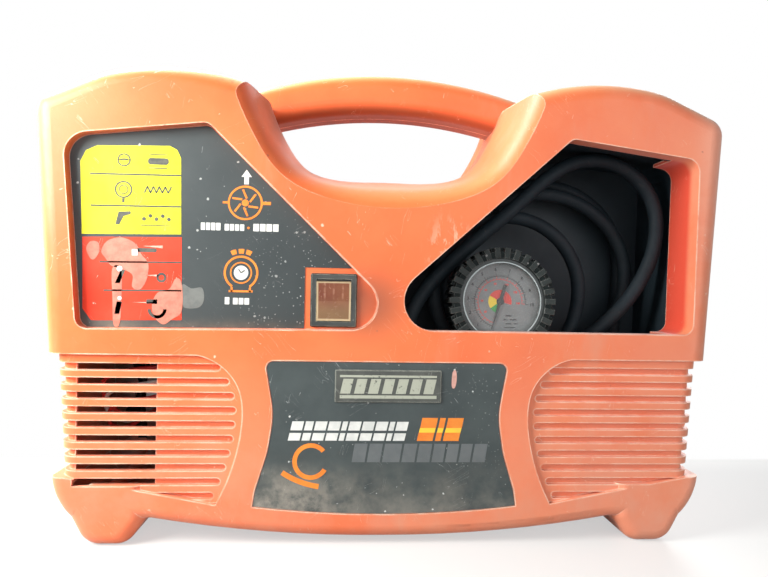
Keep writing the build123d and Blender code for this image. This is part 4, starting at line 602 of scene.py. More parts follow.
    def marked(self, graph: Graph, colour: Socket) -> Socket:
        """Rubs the edges, then leaves scratches, a scuffed patch, pits, flecks and a blotchy painted shadow
        where the handle meets the left lobe.

        Args:
            graph: The material's graph.
            colour: The colour so far.

        Returns:
            The marked colour.
        """
        bevel = graph.node("Bevel", samples=6, Radius=0.0016)
        edge = Shared.EDGE.placed(graph, Rounded_Normal=bevel.outputs[0], Breakup=70.0, Amount=1.0)
        colour = graph.lay(colour, self.worn, edge)
        marks = Shared.SCRATCHES.placed(graph, Scale=120.0, Share=0.22, Fineness=0.016)
        colour = graph.lay(colour, self.worn, marks, 0.45)
        patch = case_spot(0.585, 0.001, 0.585)
        rubs = graph.ramp(graph.noise(150.0, 5.0, 0.7, (1.6, 1.0, 0.6)), 0.52, 0.6)
        colour = graph.lay(colour, self.scuffed, self.near(graph, patch, (0.022, 0.02, 0.03)), rubs, 0.7)
        pits = Shared.SPECKS.placed(graph, Scale=130.0, Size=0.14, Share=0.05)
        flecks = Shared.SPECKS.placed(graph, Scale=85.0, Size=0.1, Share=0.07)
        colour = graph.lay(graph.lay(colour, self.pitted, pits, 0.55), self.flecked, flecks, 0.7)
        # blotchy painted shadow where the handle meets the left lobe
        shadow_spot = case_spot(0.27, 0.031, 0.9)
        shadow_patchiness = graph.ramp(graph.noise(240.0, 4.0, 0.7), 0.5, 0.62)
        return graph.lay(colour, self.dark, self.near(graph, shadow_spot, (0.02, 0.05, 0.018)), shadow_patchiness, 0.6)

    def colours(self, graph: Graph) -> tuple[Socket, Socket | None]:
        """Wires the shell's colour.

        Args:
            graph: The material's graph.

        Returns:
            The colour's socket, and the mask of grimy places, which are rougher.
        """
        normal, spot = graph.xyz(graph.node("NewGeometry").outputs["Normal"]), graph.xyz()
        colour = graph.mix(graph.ramp(graph.noise(14.0, 5.0, 0.6), 0.32, 0.68), self.colour, self.second)
        colour, grime = self.weathered(graph, colour, spot, normal)
        return self.marked(graph, self.deepened(graph, colour, spot, normal)), grime


@dataclass(frozen=True)
class FilmFinish(Finish):
    """Printed film with painted shade that grows away from its upper left corner, and dust that can gather at
    its lower left.
    """

    # painted shade towards the lower right: its colour, where it grows across and down, and its share across
    deep: Colour = (0.018, 0.026, 0.028)
    across: Span = (-0.22, 0.01)
    down: Span = (0.28, 0.15)
    fall: float = 0.72
    # where small chips lie thick, from nothing to full along each axis
    chips_x: Span = (-0.13, -0.045)
    chips_z: Span = (0.25, 0.165)
    chip: Colour = (0.6, 0.62, 0.6)
    corner: float = 0.0  # share of dust in the lower left corner

    def colours(self, graph: Graph) -> tuple[Socket, Socket | None]:
        """Wires the film's colour.

        Args:
            graph: The material's graph.

        Returns:
            The colour's socket, and the mask of dusty places, which are rougher.
        """
        colour, dusty = super().colours(graph)
        spot = graph.xyz()
        # painted shade: darker to the right and, a little, downwards
        right = graph.times(graph.ramp(spot["X"], *self.across, smooth=False), self.fall)
        low = graph.ramp(spot["Z"], *self.down, smooth=False)
        colour = graph.lay(colour, self.deep, graph.math("MULTIPLY_ADD", low, 0.15, right, clamp=True))
        thick = graph.times(graph.ramp(spot["X"], *self.chips_x), graph.ramp(spot["Z"], *self.chips_z))
        fine = graph.times(Shared.SPECKS.placed(graph, Scale=420.0, Size=0.26, Share=0.55), thick)
        stray = graph.times(Shared.SPECKS.placed(graph, Scale=260.0, Size=0.15, Share=0.18), 0.8)
        colour = graph.lay(colour, self.chip, graph.most(fine, stray), 0.8)
        if self.corner:
            left = graph.times(graph.ramp(spot["X"], 0.02, -0.08), graph.ramp(spot["Z"], 0.062, 0.03))
            cloud = graph.ramp(graph.noise(55.0, 6.0, 0.65), 0.36, 0.62)
            colour = graph.lay(colour, self.dust, left, cloud, self.corner)
        return colour, dusty


@dataclass(frozen=True)
class PlateFinish(Finish):
    """Dark plate with a plain printed pattern: a bar above, a bar below and leaning slabs between them."""

    ink: Colour = (0.42, 0.44, 0.36)
    half: float = 0.0335
    bars: tuple[Span, Span] = ((0.0069, 0.00075), (-0.0073, 0.0011))  # height of each bar, and half its width
    pitch: float = 0.0096
    lean: float = -0.22
    phase: float = 40.36
    share: float = 0.72
    slab_half: float = 0.0051

    def colours(self, graph: Graph) -> tuple[Socket, Socket | None]:
        """Wires the plate's colour.

        Args:
            graph: The material's graph.

        Returns:
            The colour's socket, and the mask of dusty places, which are rougher.
        """
        colour, dusty = super().colours(graph)
        x, z, _ = self.about(graph, "name_plate")

        def within(value: Socket, middle: float, half: float) -> Socket:
            """1 where the value lies within half of the middle."""
            return graph.math("LESS_THAN", graph.off(value, middle), half)

        leant = graph.math("DIVIDE", graph.math("MULTIPLY_ADD", z, self.lean, x), self.pitch)
        slab = graph.math("LESS_THAN", graph.math("FRACT", graph.math("ADD", leant, self.phase)), self.share)
        bars = graph.most(*(within(z, *bar_at) for bar_at in self.bars))
        print_here = graph.most(bars, graph.times(slab, within(z, 0.0, self.slab_half)))
        kept = graph.ramp(graph.noise(420.0, 5.0, 0.7), 0.3, 0.42)
        return graph.lay(colour, self.ink, print_here, within(x, 0.0, self.half), kept), dusty


@dataclass(frozen=True)
class LensFinish(Finish):
    """Smoked lens of the rocker: a pale line of painted highlight round its face and faint streaks on its
    upper half.
    """

    pale: Colour = (0.62, 0.5, 0.3)
    lower: Colour = (0.2, 0.13, 0.055)
    streaked: Colour = (0.55, 0.3, 0.2)
    streak_pitch: float = 0.0062
    # how far in from the rim the pale line of painted highlight begins and is full, across and up
    rim: tuple[Span, Span] = ((0.0016, 0.0008), (0.0018, 0.001))

    def colours(self, graph: Graph) -> tuple[Socket, Socket | None]:
        """Wires the lens's colour.

        Args:
            graph: The material's graph.

        Returns:
            The colour's socket, and the mask of dusty places, which are rougher.
        """
        colour, dusty = super().colours(graph)
        x, z, half = self.about(graph, "switch_rocker")
        colour = graph.lay(colour, self.lower, graph.ramp(z, 0.004, -0.01), 0.7)
        wave = graph.math("COSINE", graph.times(x, 2 * math.pi / self.streak_pitch))
        fade = graph.ramp(graph.noise(260.0, 3.0), 0.35, 0.65)
        streaks = graph.times(graph.ramp(wave, 0.6, 1.0), graph.ramp(z, 0.0, 0.004))
        colour = graph.lay(colour, self.streaked, streaks, fade, 0.45)
        # pale line of painted highlight along the rocker's rim
        line = graph.most(*(
            graph.ramp(graph.math("ABSOLUTE", way), *(reach - inset for inset in insets))
            for way, reach, insets in zip((x, z), (half.x, half.z), self.rim)
        ))
        return graph.lay(colour, self.pale, line, 0.75), dusty


# the shell's colour carries wear and dust, and also painted highlight, painted glare and painted shade
SHELL = ShellFinish(
    "orange_shell_worn_lit_shaded", (0.83, 0.146, 0.036), (0.87, 0.183, 0.052), 0.42, worn=(0.95, 0.66, 0.5),
    grain=700.0, bump=0.00007, sheen=0.35,
)
# the label's film darkens towards its lower right as painted shade
FILM = FilmFinish(
    "charcoal_label_film", (0.068, 0.08, 0.083), (0.085, 0.098, 0.1), 0.42, specular=0.3, mottle=22.0,
    speck=(0.7, 0.72, 0.7), speck_scale=150.0, speck_share=0.34, speck_size=0.14, scratch=(0.3, 0.32, 0.32),
    scratch_share=0.24, dust=(0.36, 0.32, 0.25), dust_top=0.158, dust_foot=0.143, dust_share=0.8,
    grain=1500.0, bump=0.00002,
)
BADGE = FilmFinish(
    "dark_badge_film", (0.048, 0.062, 0.064), (0.066, 0.083, 0.084), 0.38, specular=0.35, across=(-0.1, 0.16),
    down=(0.12, -0.08), corner=1.0, fall=0.0, mottle=30.0, speck=(0.75, 0.77, 0.75), speck_scale=150.0,
    speck_share=0.16, speck_size=0.13, scratch=(0.4, 0.42, 0.42), scratch_share=0.22, dust=(0.3, 0.28, 0.24),
    dust_top=0.07, dust_foot=0.005, dust_share=0.8, grain=1500.0, bump=0.00002, chips_x=(0.02, 0.15),
    chips_z=(0.03, 0.1), chip=(0.7, 0.72, 0.68),
)
NAMEPLATE = PlateFinish(
    "raised_plate", (0.06, 0.066, 0.06), (0.09, 0.096, 0.086), 0.3, mottle=80.0, worn=(0.42, 0.44, 0.38),
    wear=0.9, scratch=(0.3, 0.3, 0.28), grain=1600.0, bump=0.00002,
)
YELLOW = Finish(
    "legend_yellow", (0.84, 0.84, 0.03), (0.86, 0.86, 0.05), 0.42, specular=0.2, mottle=40.0,
    scratch=(0.9, 0.9, 0.7), scratch_share=0.15, speck=(0.3, 0.3, 0.1), speck_scale=160.0, speck_share=0.02,
    grain=1500.0, bump=0.00002,
)
RED = Finish(
    "legend_red", (0.8, 0.05, 0.02), (0.84, 0.07, 0.035), 0.42, specular=0.25, mottle=40.0,
    scratch=(0.9, 0.7, 0.6), scratch_share=0.3, speck=(0.9, 0.85, 0.8), speck_scale=150.0, speck_share=0.06,
    grain=1500.0, bump=0.00002,
)
SCUFF = Finish("pink_scuff", (0.7, 0.4, 0.34), (0.6, 0.3, 0.25), 0.6, mottle=300.0)
WORN_RED = Finish("worn_red", (0.9, 0.5, 0.42), (0.85, 0.3, 0.22), 0.5, mottle=300.0)
GREY_GLUE = Finish("grey_glue", (0.17, 0.18, 0.17), (0.12, 0.13, 0.125), 0.55, mottle=140.0)
GLUE = Finish("old_glue", (0.62, 0.24, 0.17), (0.5, 0.16, 0.11), 0.6, mottle=160.0)
PRINT = Finish("legend_print", (0.05, 0.055, 0.05), (0.1, 0.1, 0.08), 0.5, mottle=200.0)
WHITE_PRINT = Finish("white_print", (0.78, 0.79, 0.76), (0.6, 0.62, 0.6), 0.45, mottle=90.0)
ORANGE_PRINT = Finish("orange_print", (0.82, 0.2, 0.018), (0.85, 0.27, 0.03), 0.45, mottle=90.0)
YELLOW_PRINT = Finish("yellow_print", (0.9, 0.62, 0.04), (0.85, 0.55, 0.05), 0.45, mottle=90.0)
GREY_PRINT = Finish("grey_print", (0.135, 0.15, 0.155), (0.11, 0.125, 0.13), 0.45, mottle=90.0)
# the switch's pale edges are a painted highlight on its rounded edges
SWITCH = Finish(
    "switch_black", (0.016, 0.02, 0.019), (0.035, 0.042, 0.038), 0.2, mottle=60.0, worn=(0.4, 0.42, 0.34),
    wear=0.9, wear_radius=0.0006, speck=(0.6, 0.62, 0.5), speck_scale=500.0, speck_share=0.06, bump=0.00002,
)
# the rocker's pale edges and its pale rim line are painted highlights
ROCKER = LensFinish(
    "smoked_rocker", (0.19, 0.05, 0.025), (0.25, 0.09, 0.04), 0.25, mottle=90.0, worn=(0.75, 0.66, 0.45),
    wear=1.0, wear_radius=0.0009, scratch=(0.5, 0.3, 0.2), bump=0.00002, coat=0.3,
)
LINER = Finish(
    "bin_liner", (0.011, 0.022, 0.031), (0.017, 0.031, 0.042), 0.6, mottle=20.0, dust=(0.02, 0.022, 0.025),
    dust_top=0.2, dust_foot=0.05, grain=500.0, bump=0.00008,
)
HOSE = Finish(
    "air_hose", (0.012, 0.02, 0.027), (0.019, 0.029, 0.037), 0.6, specular=0.2, mottle=50.0,
    scratch=(0.05, 0.05, 0.05), dust=(0.035, 0.033, 0.032), dust_top=0.3, dust_foot=0.0, grain=1300.0,
    bump=0.00004,
)
BOOT = Finish(
    "rubber_boot", (0.004, 0.008, 0.008), (0.009, 0.014, 0.014), 0.6, specular=0.14, mottle=70.0,
    worn=(0.16, 0.17, 0.17), wear=0.8, wear_radius=0.0007, speck=(0.3, 0.3, 0.3), speck_scale=260.0,
    speck_share=0.06, grain=1100.0,
)
# the ribs' pale edges are painted highlights, and their dark colour is set low to stand in for the shade that
# the window's edge casts on them
RIBS = Finish(
    "boot_ribs_highlit", (0.012, 0.018, 0.017), (0.024, 0.032, 0.031), 0.55, specular=0.3, mottle=90.0,
    worn=(0.3, 0.31, 0.3), wear=0.9, wear_radius=0.0006, speck=(0.3, 0.3, 0.3), speck_scale=260.0,
    speck_share=0.06, grain=1100.0,
)
# the bezel's pale edges are a painted highlight on its clear rim
BEZEL = Finish(
    "clear_bezel", (0.016, 0.022, 0.022), (0.03, 0.037, 0.036), 0.25, specular=0.4, mottle=50.0,
    worn=(0.62, 0.66, 0.66), wear=1.0, wear_radius=0.0007,
)
DIAL = Finish("dial_silver", (0.17, 0.18, 0.185), (0.23, 0.24, 0.245), 0.5, mottle=60.0, bump=0.00001)
RIM = Finish("bright_rim", (0.36, 0.4, 0.4), (0.28, 0.32, 0.32), 0.25, metallic=0.4, mottle=120.0)
DIAL_BLACK = Finish("dial_black", (0.02, 0.022, 0.022), (0.03, 0.032, 0.032), 0.5)
DIAL_RED = Finish("dial_red", (0.65, 0.04, 0.03), (0.7, 0.06, 0.04), 0.5)
DIAL_YELLOW = Finish("dial_yellow", (0.86, 0.62, 0.03), (0.88, 0.66, 0.05), 0.5)
DIAL_GREEN = Finish("dial_green", (0.03, 0.3, 0.06), (0.04, 0.34, 0.08), 0.5)
POINTER = Finish("pointer_black", (0.012, 0.012, 0.012), (0.02, 0.02, 0.02), 0.35)
CASTING = Finish(
    "cast_alloy", (0.5, 0.51, 0.52), (0.4, 0.41, 0.42), 0.42, metallic=0.85, mottle=90.0,
    worn=(0.75, 0.76, 0.77), dust=(0.2, 0.17, 0.14), dust_top=0.25, dust_foot=0.0, dust_share=0.5,
    bump=0.00012,
)
STEEL = Finish(
    "ground_steel", (0.56, 0.56, 0.57), (0.48, 0.48, 0.5), 0.28, metallic=1.0, scratch=(0.8, 0.8, 0.8),
)
ZINC = Finish(
    "zinc_plate", (0.6, 0.6, 0.56), (0.5, 0.5, 0.47), 0.35, metallic=1.0, mottle=300.0,
    speck=(0.25, 0.16, 0.1), speck_scale=500.0, speck_share=0.05,
)
LAMINATED = Finish(
    "stator_laminations", (0.25, 0.25, 0.26), (0.16, 0.16, 0.17), 0.45, metallic=0.9, speck=(0.25, 0.1, 0.05),
    speck_scale=300.0, speck_share=0.1,
)
WINDING = Finish(
    "varnished_copper", (0.5, 0.2, 0.07), (0.36, 0.13, 0.05), 0.35, metallic=0.6, mottle=300.0, coat=0.5,
)
IRON = Finish("crank_iron", (0.12, 0.12, 0.125), (0.18, 0.18, 0.18), 0.5, metallic=0.8, worn=(0.5, 0.5, 0.5))
BRASS = Finish(
    "turned_brass", (0.62, 0.44, 0.17), (0.5, 0.34, 0.13), 0.3, metallic=1.0, scratch=(0.8, 0.65, 0.35),
    worn=(0.8, 0.64, 0.36),
)
BRONZE = Finish("bush_bronze", (0.55, 0.33, 0.13), (0.45, 0.26, 0.1), 0.35, metallic=1.0)
CHROME = Finish("chromed", (0.66, 0.67, 0.68), (0.6, 0.61, 0.62), 0.14, metallic=1.0, scratch=(0.4, 0.4, 0.4))
ALLOY_PIPE = Finish(
    "bent_pipe", (0.55, 0.56, 0.57), (0.46, 0.47, 0.48), 0.32, metallic=0.95, scratch=(0.75, 0.75, 0.75),
)
SEAL = Finish("cup_seal", (0.1, 0.085, 0.07), (0.14, 0.12, 0.1), 0.5)
FIBRE = Finish("pressed_fibre", (0.16, 0.15, 0.13), (0.22, 0.2, 0.17), 0.8, mottle=400.0, bump=0.0001)
REED = Finish("reed_steel", (0.3, 0.34, 0.45), (0.4, 0.42, 0.48), 0.25, metallic=1.0)
BLACK_PLASTIC = Finish(
    "moulded_black", (0.02, 0.02, 0.021), (0.032, 0.032, 0.033), 0.45, worn=(0.1, 0.1, 0.1),
    dust=(0.12, 0.1, 0.08), dust_share=0.5,
)
BLACK_PAINT = Finish(
    "black_enamel", (0.018, 0.018, 0.02), (0.03, 0.03, 0.03), 0.3, worn=(0.35, 0.34, 0.33),
    wear_radius=0.0005, speck=(0.2, 0.1, 0.06), speck_share=0.05,
)
RUBBER = Finish("soft_rubber", (0.018, 0.018, 0.018), (0.03, 0.03, 0.03), 0.7, dust=(0.1, 0.09, 0.08))
CAN = Finish(
    "capacitor_can", (0.66, 0.66, 0.62), (0.58, 0.58, 0.54), 0.35, dust=(0.3, 0.25, 0.2), dust_share=0.5,
)
WIRE_RED = Finish("wire_red", (0.6, 0.03, 0.03), (0.66, 0.06, 0.05), 0.4)
WIRE_WHITE = Finish("wire_white", (0.75, 0.75, 0.72), (0.68, 0.68, 0.65), 0.4)

CARRIED = {
    "front_shell": SHELL, "rear_shell": SHELL, "control_label": FILM, "badge_plate": BADGE,
    "name_plate": NAMEPLATE, "switch_body": SWITCH, "switch_rocker": ROCKER, "storage_bin": LINER,
    "gauge_boot": BOOT, "gauge_dial": DIAL, "gauge_pointer": POINTER, "gauge_bezel": BEZEL,
    "gauge_case": BLACK_PAINT, "bourdon_tube": BRASS, "gauge_movement": BRASS, "shell_screws": ZINC,
    "stator_core": LAMINATED, "stator_windings": WINDING, "rotor_core": LAMINATED, "motor_shaft": STEEL,
    "fan_end_bearing": CHROME, "drive_end_bearing": CHROME, "motor_end_cover": CASTING,
    "cooling_fan": BLACK_PLASTIC, "motor_bolts": ZINC, "crankshaft": IRON, "crankcase": CASTING,
    "cylinder": CASTING, "connecting_rod": CASTING, "rod_bush": BRONZE, "piston_seal": SEAL,
    "seal_retainer": STEEL, "head_gasket": FIBRE, "valve_plate": STEEL, "reed_valves": REED,
    "cylinder_head": CASTING, "head_bolts": ZINC, "intake_filter": BLACK_PLASTIC,
    "base_bracket": BLACK_PAINT, "rubber_mounts": RUBBER, "mount_nuts": ZINC, "run_capacitor": CAN,
    "cable_gland": BLACK_PLASTIC, "gland_nut": BLACK_PLASTIC, "outlet_fitting": BRASS,
    "outlet_pipe": ALLOY_PIPE, "gun_body": CASTING, "gun_trigger": BLACK_PAINT, "hinge_pin": STEEL,
    "valve_plunger": BRASS, "bleed_button": BRASS, "hose_ferrule": BRASS, "tyre_chuck": CHROME,
}


# ---------------------------------------------------------------- mesh helpers


def own(mesh_object: bpy.types.Object, finish: Finish | None, body: str = HOUSING) -> bpy.types.Object:
    """Dresses a new piece and lets it ride.

    Args:
        mesh_object: The piece, in place.
        finish: Its finish, or None where it has one already.
        body: The body that carries it.

    Returns:
        The piece.
    """
    if finish is not None:
        mesh_object.data.materials.clear()
        mesh_object.data.materials.append(finish.material())
    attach(mesh_object, body)
    log.info("piece %s rides on %s", mesh_object.name, body)
    return mesh_object


def linked(name: str, data: bpy.types.ID) -> bpy.types.Object:
    """Puts new data into the scene as an object."""
    made = bpy.data.objects.new(name, data)
    bpy.context.scene.collection.objects.link(made)
    return made


def settled(name: str, shape: bmesh.types.BMesh) -> bpy.types.Object:
    """Turns a finished shape into an object of the scene."""
    mesh = bpy.data.meshes.new(name)
    shape.to_mesh(mesh)
    shape.free()
    return linked(name, mesh)


def tube(name: str, points: list[Vector], radius: float, rounding: int) -> bpy.types.Object:
    """Draws a round line that bends softly along its control points.

    Args:
        name: The line's name.
        points: Its control points.
        radius: Its radius.
        rounding: Fineness of its cross-section.

    Returns:
        The line as a curve.
    """
    curve = bpy.data.curves.new(name, "CURVE")
    curve.dimensions, curve.resolution_u = "3D", 8
    curve.bevel_depth, curve.bevel_resolution = radius, rounding
    spline = curve.splines.new("NURBS")
    spline.points.add(len(points) - 1)
    for control, point in zip(spline.points, points):
        control.co = (*point, 1.0)
    spline.order_u, spline.use_endpoint_u = 3, True
    return linked(name, curve)


@dataclass
class Board:
    """A flat work plane on which outlines, in millimetres, become thin raised pieces."""

    origin: Vector
    right: Vector = field(default_factory=lambda: Vector((1.0, 0.0, 0.0)))
    up: Vector = field(default_factory=lambda: Vector((0.0, 0.0, 1.0)))

    @property
    def out(self) -> Vector:
        """Direction out of the plane, towards whoever reads it."""
        return self.right.cross(self.up)

    def at(self, u: float, v: float, w: float = 0.0) -> Vector:
        """Point of the plane at u, v, raised by w, all in millimetres."""
        return self.origin + (self.right * u + self.up * v + self.out * w) * MM

    def plate(self, name: str, outlines: list[Outline], low: float, high: float) -> bpy.types.Object:
        """Raises closed outlines into one object of thin plates.

        Args:
            name: The object's name.
            outlines: Corner lists, anticlockwise as seen from outside.
            low: Height of the plates' undersides.
            high: Height of their faces.

        Returns:
            The object.
        """
        shape = bmesh.new()
        for corners in outlines:
            base = [shape.verts.new(self.at(u, v, low)) for u, v in corners]
            top = [shape.verts.new(self.at(u, v, high)) for u, v in corners]
            shape.faces.new(top)
            shape.faces.new(list(reversed(base)))
            for i in range(len(corners)):
                j = (i + 1) % len(corners)
                shape.faces.new((base[i], base[j], top[j], top[i]))
        bmesh.ops.recalc_face_normals(shape, faces=shape.faces)
        return settled(name, shape)


def rounded(u0: float, v0: float, u1: float, v1: float, radius: float, steps: int = 5) -> Outline:
    """Corners of a rounded rectangle.

    Args:
        u0: Left side.
        v0: Bottom.
        u1: Right side.
        v1: Top.
        radius: Corner radius.
        steps: Points per corner.

    Returns:
        Its outline, anticlockwise.
    """
    points = []
    for cx, cy, start in ((u1 - radius, v1 - radius, 0), (u0 + radius, v1 - radius, 90),
                          (u0 + radius, v0 + radius, 180), (u1 - radius, v0 + radius, 270)):
        for k in range(steps + 1):
            angle = math.radians(start + 90 * k / steps)
            points.append((cx + radius * math.cos(angle), cy + radius * math.sin(angle)))
    return points


def arc_band(
    cu: float, cv: float, inner: float, outer: float, start: float = 0.0, end: float = 359.9, steps: int = 24,
) -> Outline:
    """Outline of a bent band.

    Args:
        cu: Centre's u.
        cv: Centre's v.
        inner: Inner radius.
        outer: Outer radius.
        start: Start angle in degrees.
        end: End angle in degrees, above the start.
        steps: Points along each edge.

    Returns:
        Its outline, anticlockwise.
    """
    turns = [math.radians(start + (end - start) * k / steps) for k in range(steps + 1)]
    rim = [(cu + outer * math.cos(t), cv + outer * math.sin(t)) for t in turns]
    if inner <= 0:
        return rim if end - start < 360 else rim[:-1]
    return rim + [(cu + inner * math.cos(t), cv + inner * math.sin(t)) for t in reversed(turns)]


def bar(u0: float, v0: float, u1: float, v1: float, width: float) -> Outline:
    """Outline of a straight line of some width.

    Args:
        u0: Start's u.
        v0: Start's v.
        u1: End's u.
        v1: End's v.
        width: The line's width.

    Returns:
        Its four corners, anticlockwise.
    """
    along = Vector((u1 - u0, v1 - v0)).normalized()
    u, v = -along.y * width / 2, along.x * width / 2
    return [(u0 - u, v0 - v), (u1 - u, v1 - v), (u1 + u, v1 + v), (u0 + u, v0 + v)]


def ray(angle: float, inner: float, outer: float, width: float) -> Outline:
    """Outline of a straight line that points away from the middle; the angle is in radians."""
    c, t = math.cos(angle), math.sin(angle)
    return bar(inner * c, inner * t, outer * c, outer * t, width)


def dot(cu: float, cv: float, radius: float, steps: int = 24) -> Outline:
    """Outline of a round dot."""
    return arc_band(cu, cv, 0, radius, 0, 360, steps)


def smooth(corners: Outline, steps: int = 6) -> Outline:
    """Closed soft outline through some corners.

    Args:
        corners: Points that the outline passes.
        steps: Points per stretch.

    Returns:
        The outline.
    """
    points, count = [], len(corners)
    for i in range(count):
        a, b, c, d = (Vector(corners[(i + k) % count]) for k in (-1, 0, 1, 2))
        for k in range(steps):
            t = k / steps
            bend = (2 * a - 5 * b + 4 * c - d) * t * t + (3 * b - a - 3 * c + d) * t ** 3
            points.append(tuple(0.5 * (2 * b + (c - a) * t + bend)))
    return points


def soften(piece: bpy.types.Object, width: float) -> None:
    """Rounds a piece's edges by some millimetres."""
    bevel = piece.modifiers.new("round", "BEVEL")
    bevel.width, bevel.segments, bevel.limit_method = width * MM, 3, "ANGLE"


# ---------------------------------------------------------------- studio


@dataclass(frozen=True)
class Lamp:
    """A square soft lamp: where it hangs, what it points at, its side in metres, its watts and its tint."""

    name: str
    place: Colour
    aim: Colour
    size: float
    power: float
    tint: Colour = (1.0, 1.0, 1.0)

    def hang(self) -> None:
        """Hangs the lamp in the scene."""
        data = bpy.data.lights.new(self.name, "AREA")
        data.shape, data.size, data.energy, data.color = "SQUARE", self.size, self.power, self.tint
        made = linked(self.name, data)
        made.location = self.place
        made.rotation_euler = (Vector(self.aim) - Vector(self.place)).to_track_quat("-Z", "Y").to_euler()


WARM = (1.0, 0.99, 0.95)
MIDDLE = tuple((CASE_LOW + CASE_HIGH) / 2)
LAMPS = (
    Lamp("key_left", (-0.5, -0.3, 0.4), (-0.1, -0.06, 0.2), 0.3, 7.4, WARM),
    Lamp("side_left", (-0.8, 0.1, 0.4), (-0.2, 0.0, 0.2), 0.4, 1.6, WARM),
    Lamp("rim_left", (-0.3, 0.05, 0.55), (-0.12, 0.0, 0.3), 0.25, 3.8, WARM),
    Lamp("front_low", (-0.1, -1.55, 0.35), MIDDLE, 1.0, 5.0),
    Lamp("front_right", (0.75, -1.1, 0.4), MIDDLE, 0.8, 3.6),
    Lamp("rim_right", (0.6, 0.8, 0.6), (0.15, 0.0, 0.3), 0.5, 6.5),
)


@dataclass
class Studio:
    """Camera, pale floor, lamps and a white surround; angles are in degrees."""

    lens: float = 27.98
    place: Colour = (-0.030465, -0.5067, 0.178394)
    yaw: float = 3.69
    pitch: float = -0.069
    roll: float = 1.113
    floor_half: float = 2.4
    floor_rough: float = 0.45
    floor_gloss: float = 0.25
    floor_pale: Colour = (0.86, 0.88, 0.86)
    floor_paler: Colour = (0.9, 0.91, 0.89)
    floor_far: Colour = (0.95, 0.95, 0.94)
    floor_line: float = 0.108  # where the far floor begins, behind the case
    floor_fade: float = 0.012
    near_glow: float = 0.55
    bounce: Colour = (0.42, 0.42, 0.42)
    dim: Colour = (0.08, 0.084, 0.09)
    glossed: Colour = (0.6, 0.61, 0.63)

    def camera(self) -> None:
        """Sets the camera in front of the case, a little to its left."""
        yaw, pitch, roll = (math.radians(a) for a in (self.yaw, self.pitch, self.roll))
        level = math.cos(pitch)
        forward = Vector((math.sin(yaw) * level, math.cos(yaw) * level, math.sin(pitch)))
        right = Vector((math.cos(yaw), -math.sin(yaw), 0.0))
        up = right.cross(forward)
        across = right * math.cos(roll) + up * math.sin(roll)
        rise = up * math.cos(roll) - right * math.sin(roll)
        data = bpy.data.cameras.new("camera")
        data.lens, data.sensor_width, data.sensor_fit = self.lens, 36.0, "HORIZONTAL"
        made = linked("camera", data)
        turn = Matrix((across, rise, -forward)).transposed().to_4x4()
        made.matrix_world = Matrix.Translation(self.place) @ turn
        bpy.context.scene.camera = made

    def surround(self) -> None:
        """Makes the world plain, and white where it is seen straight, in gloss or through glass."""
        world = bpy.data.worlds.new("surround")
        bpy.context.scene.world = world
        world.use_nodes = True
        graph = Graph(world.node_tree)
        back = world.node_tree.nodes["Background"]
        rays = graph.node("LightPath")
        seen = graph.most(rays.outputs["Is Camera Ray"], rays.outputs["Is Transmission Ray"])
        plain = graph.mix(rays.outputs["Is Glossy Ray"], self.dim, self.glossed)
        graph.join(graph.mix(seen, plain, (1.0, 1.0, 1.0)), back.inputs["Color"])
        back.inputs["Strength"].default_value = 1.0

    def floor(self) -> None:
        """Lays a pale floor that keeps the shadow and whitens where it is seen straight."""
        shape = bmesh.new()
        bmesh.ops.create_grid(shape, x_segments=2, y_segments=2, size=self.floor_half)
        made = settled("floor", shape)
        material, graph, inputs = blank("pale_floor")
        inputs["Roughness"].default_value = self.floor_rough
        inputs["Specular IOR Level"].default_value = self.floor_gloss
        far = graph.ramp(graph.xyz()["Y"], self.floor_line, self.floor_line + self.floor_fade)
        cloud = graph.ramp(graph.noise(3.0, 3.0), 0.3, 0.7)
        tone = graph.mix(far, graph.mix(cloud, self.floor_pale, self.floor_paler), self.floor_far)
        seen = graph.node("LightPath").outputs["Is Camera Ray"]
        graph.join(graph.mix(seen, self.bounce, tone), inputs["Base Color"])
        glow = graph.node("Emission", Color=(1.0, 1.0, 1.0, 1.0))
        blend = graph.node("MixShader")
        share = graph.math("MULTIPLY_ADD", far, 1.0 - self.near_glow, self.near_glow)
        nodes = material.node_tree.nodes
        mixed = (graph.times(seen, share), nodes["Principled BSDF"].outputs[0], glow.outputs[0])
        for socket, value in zip(blend.inputs, mixed):
            graph.join(value, socket)
        graph.join(blend.outputs[0], nodes["Material Output"].inputs["Surface"])
        made.data.materials.append(material)

    def build(self) -> None:
        """Sets up the whole studio."""
        bpy.context.scene.view_settings.view_transform = "Standard"
        self.camera()
        self.surround()
        self.floor()
        for lamp in LAMPS:
            lamp.hang()


# ---------------------------------------------------------------- hose


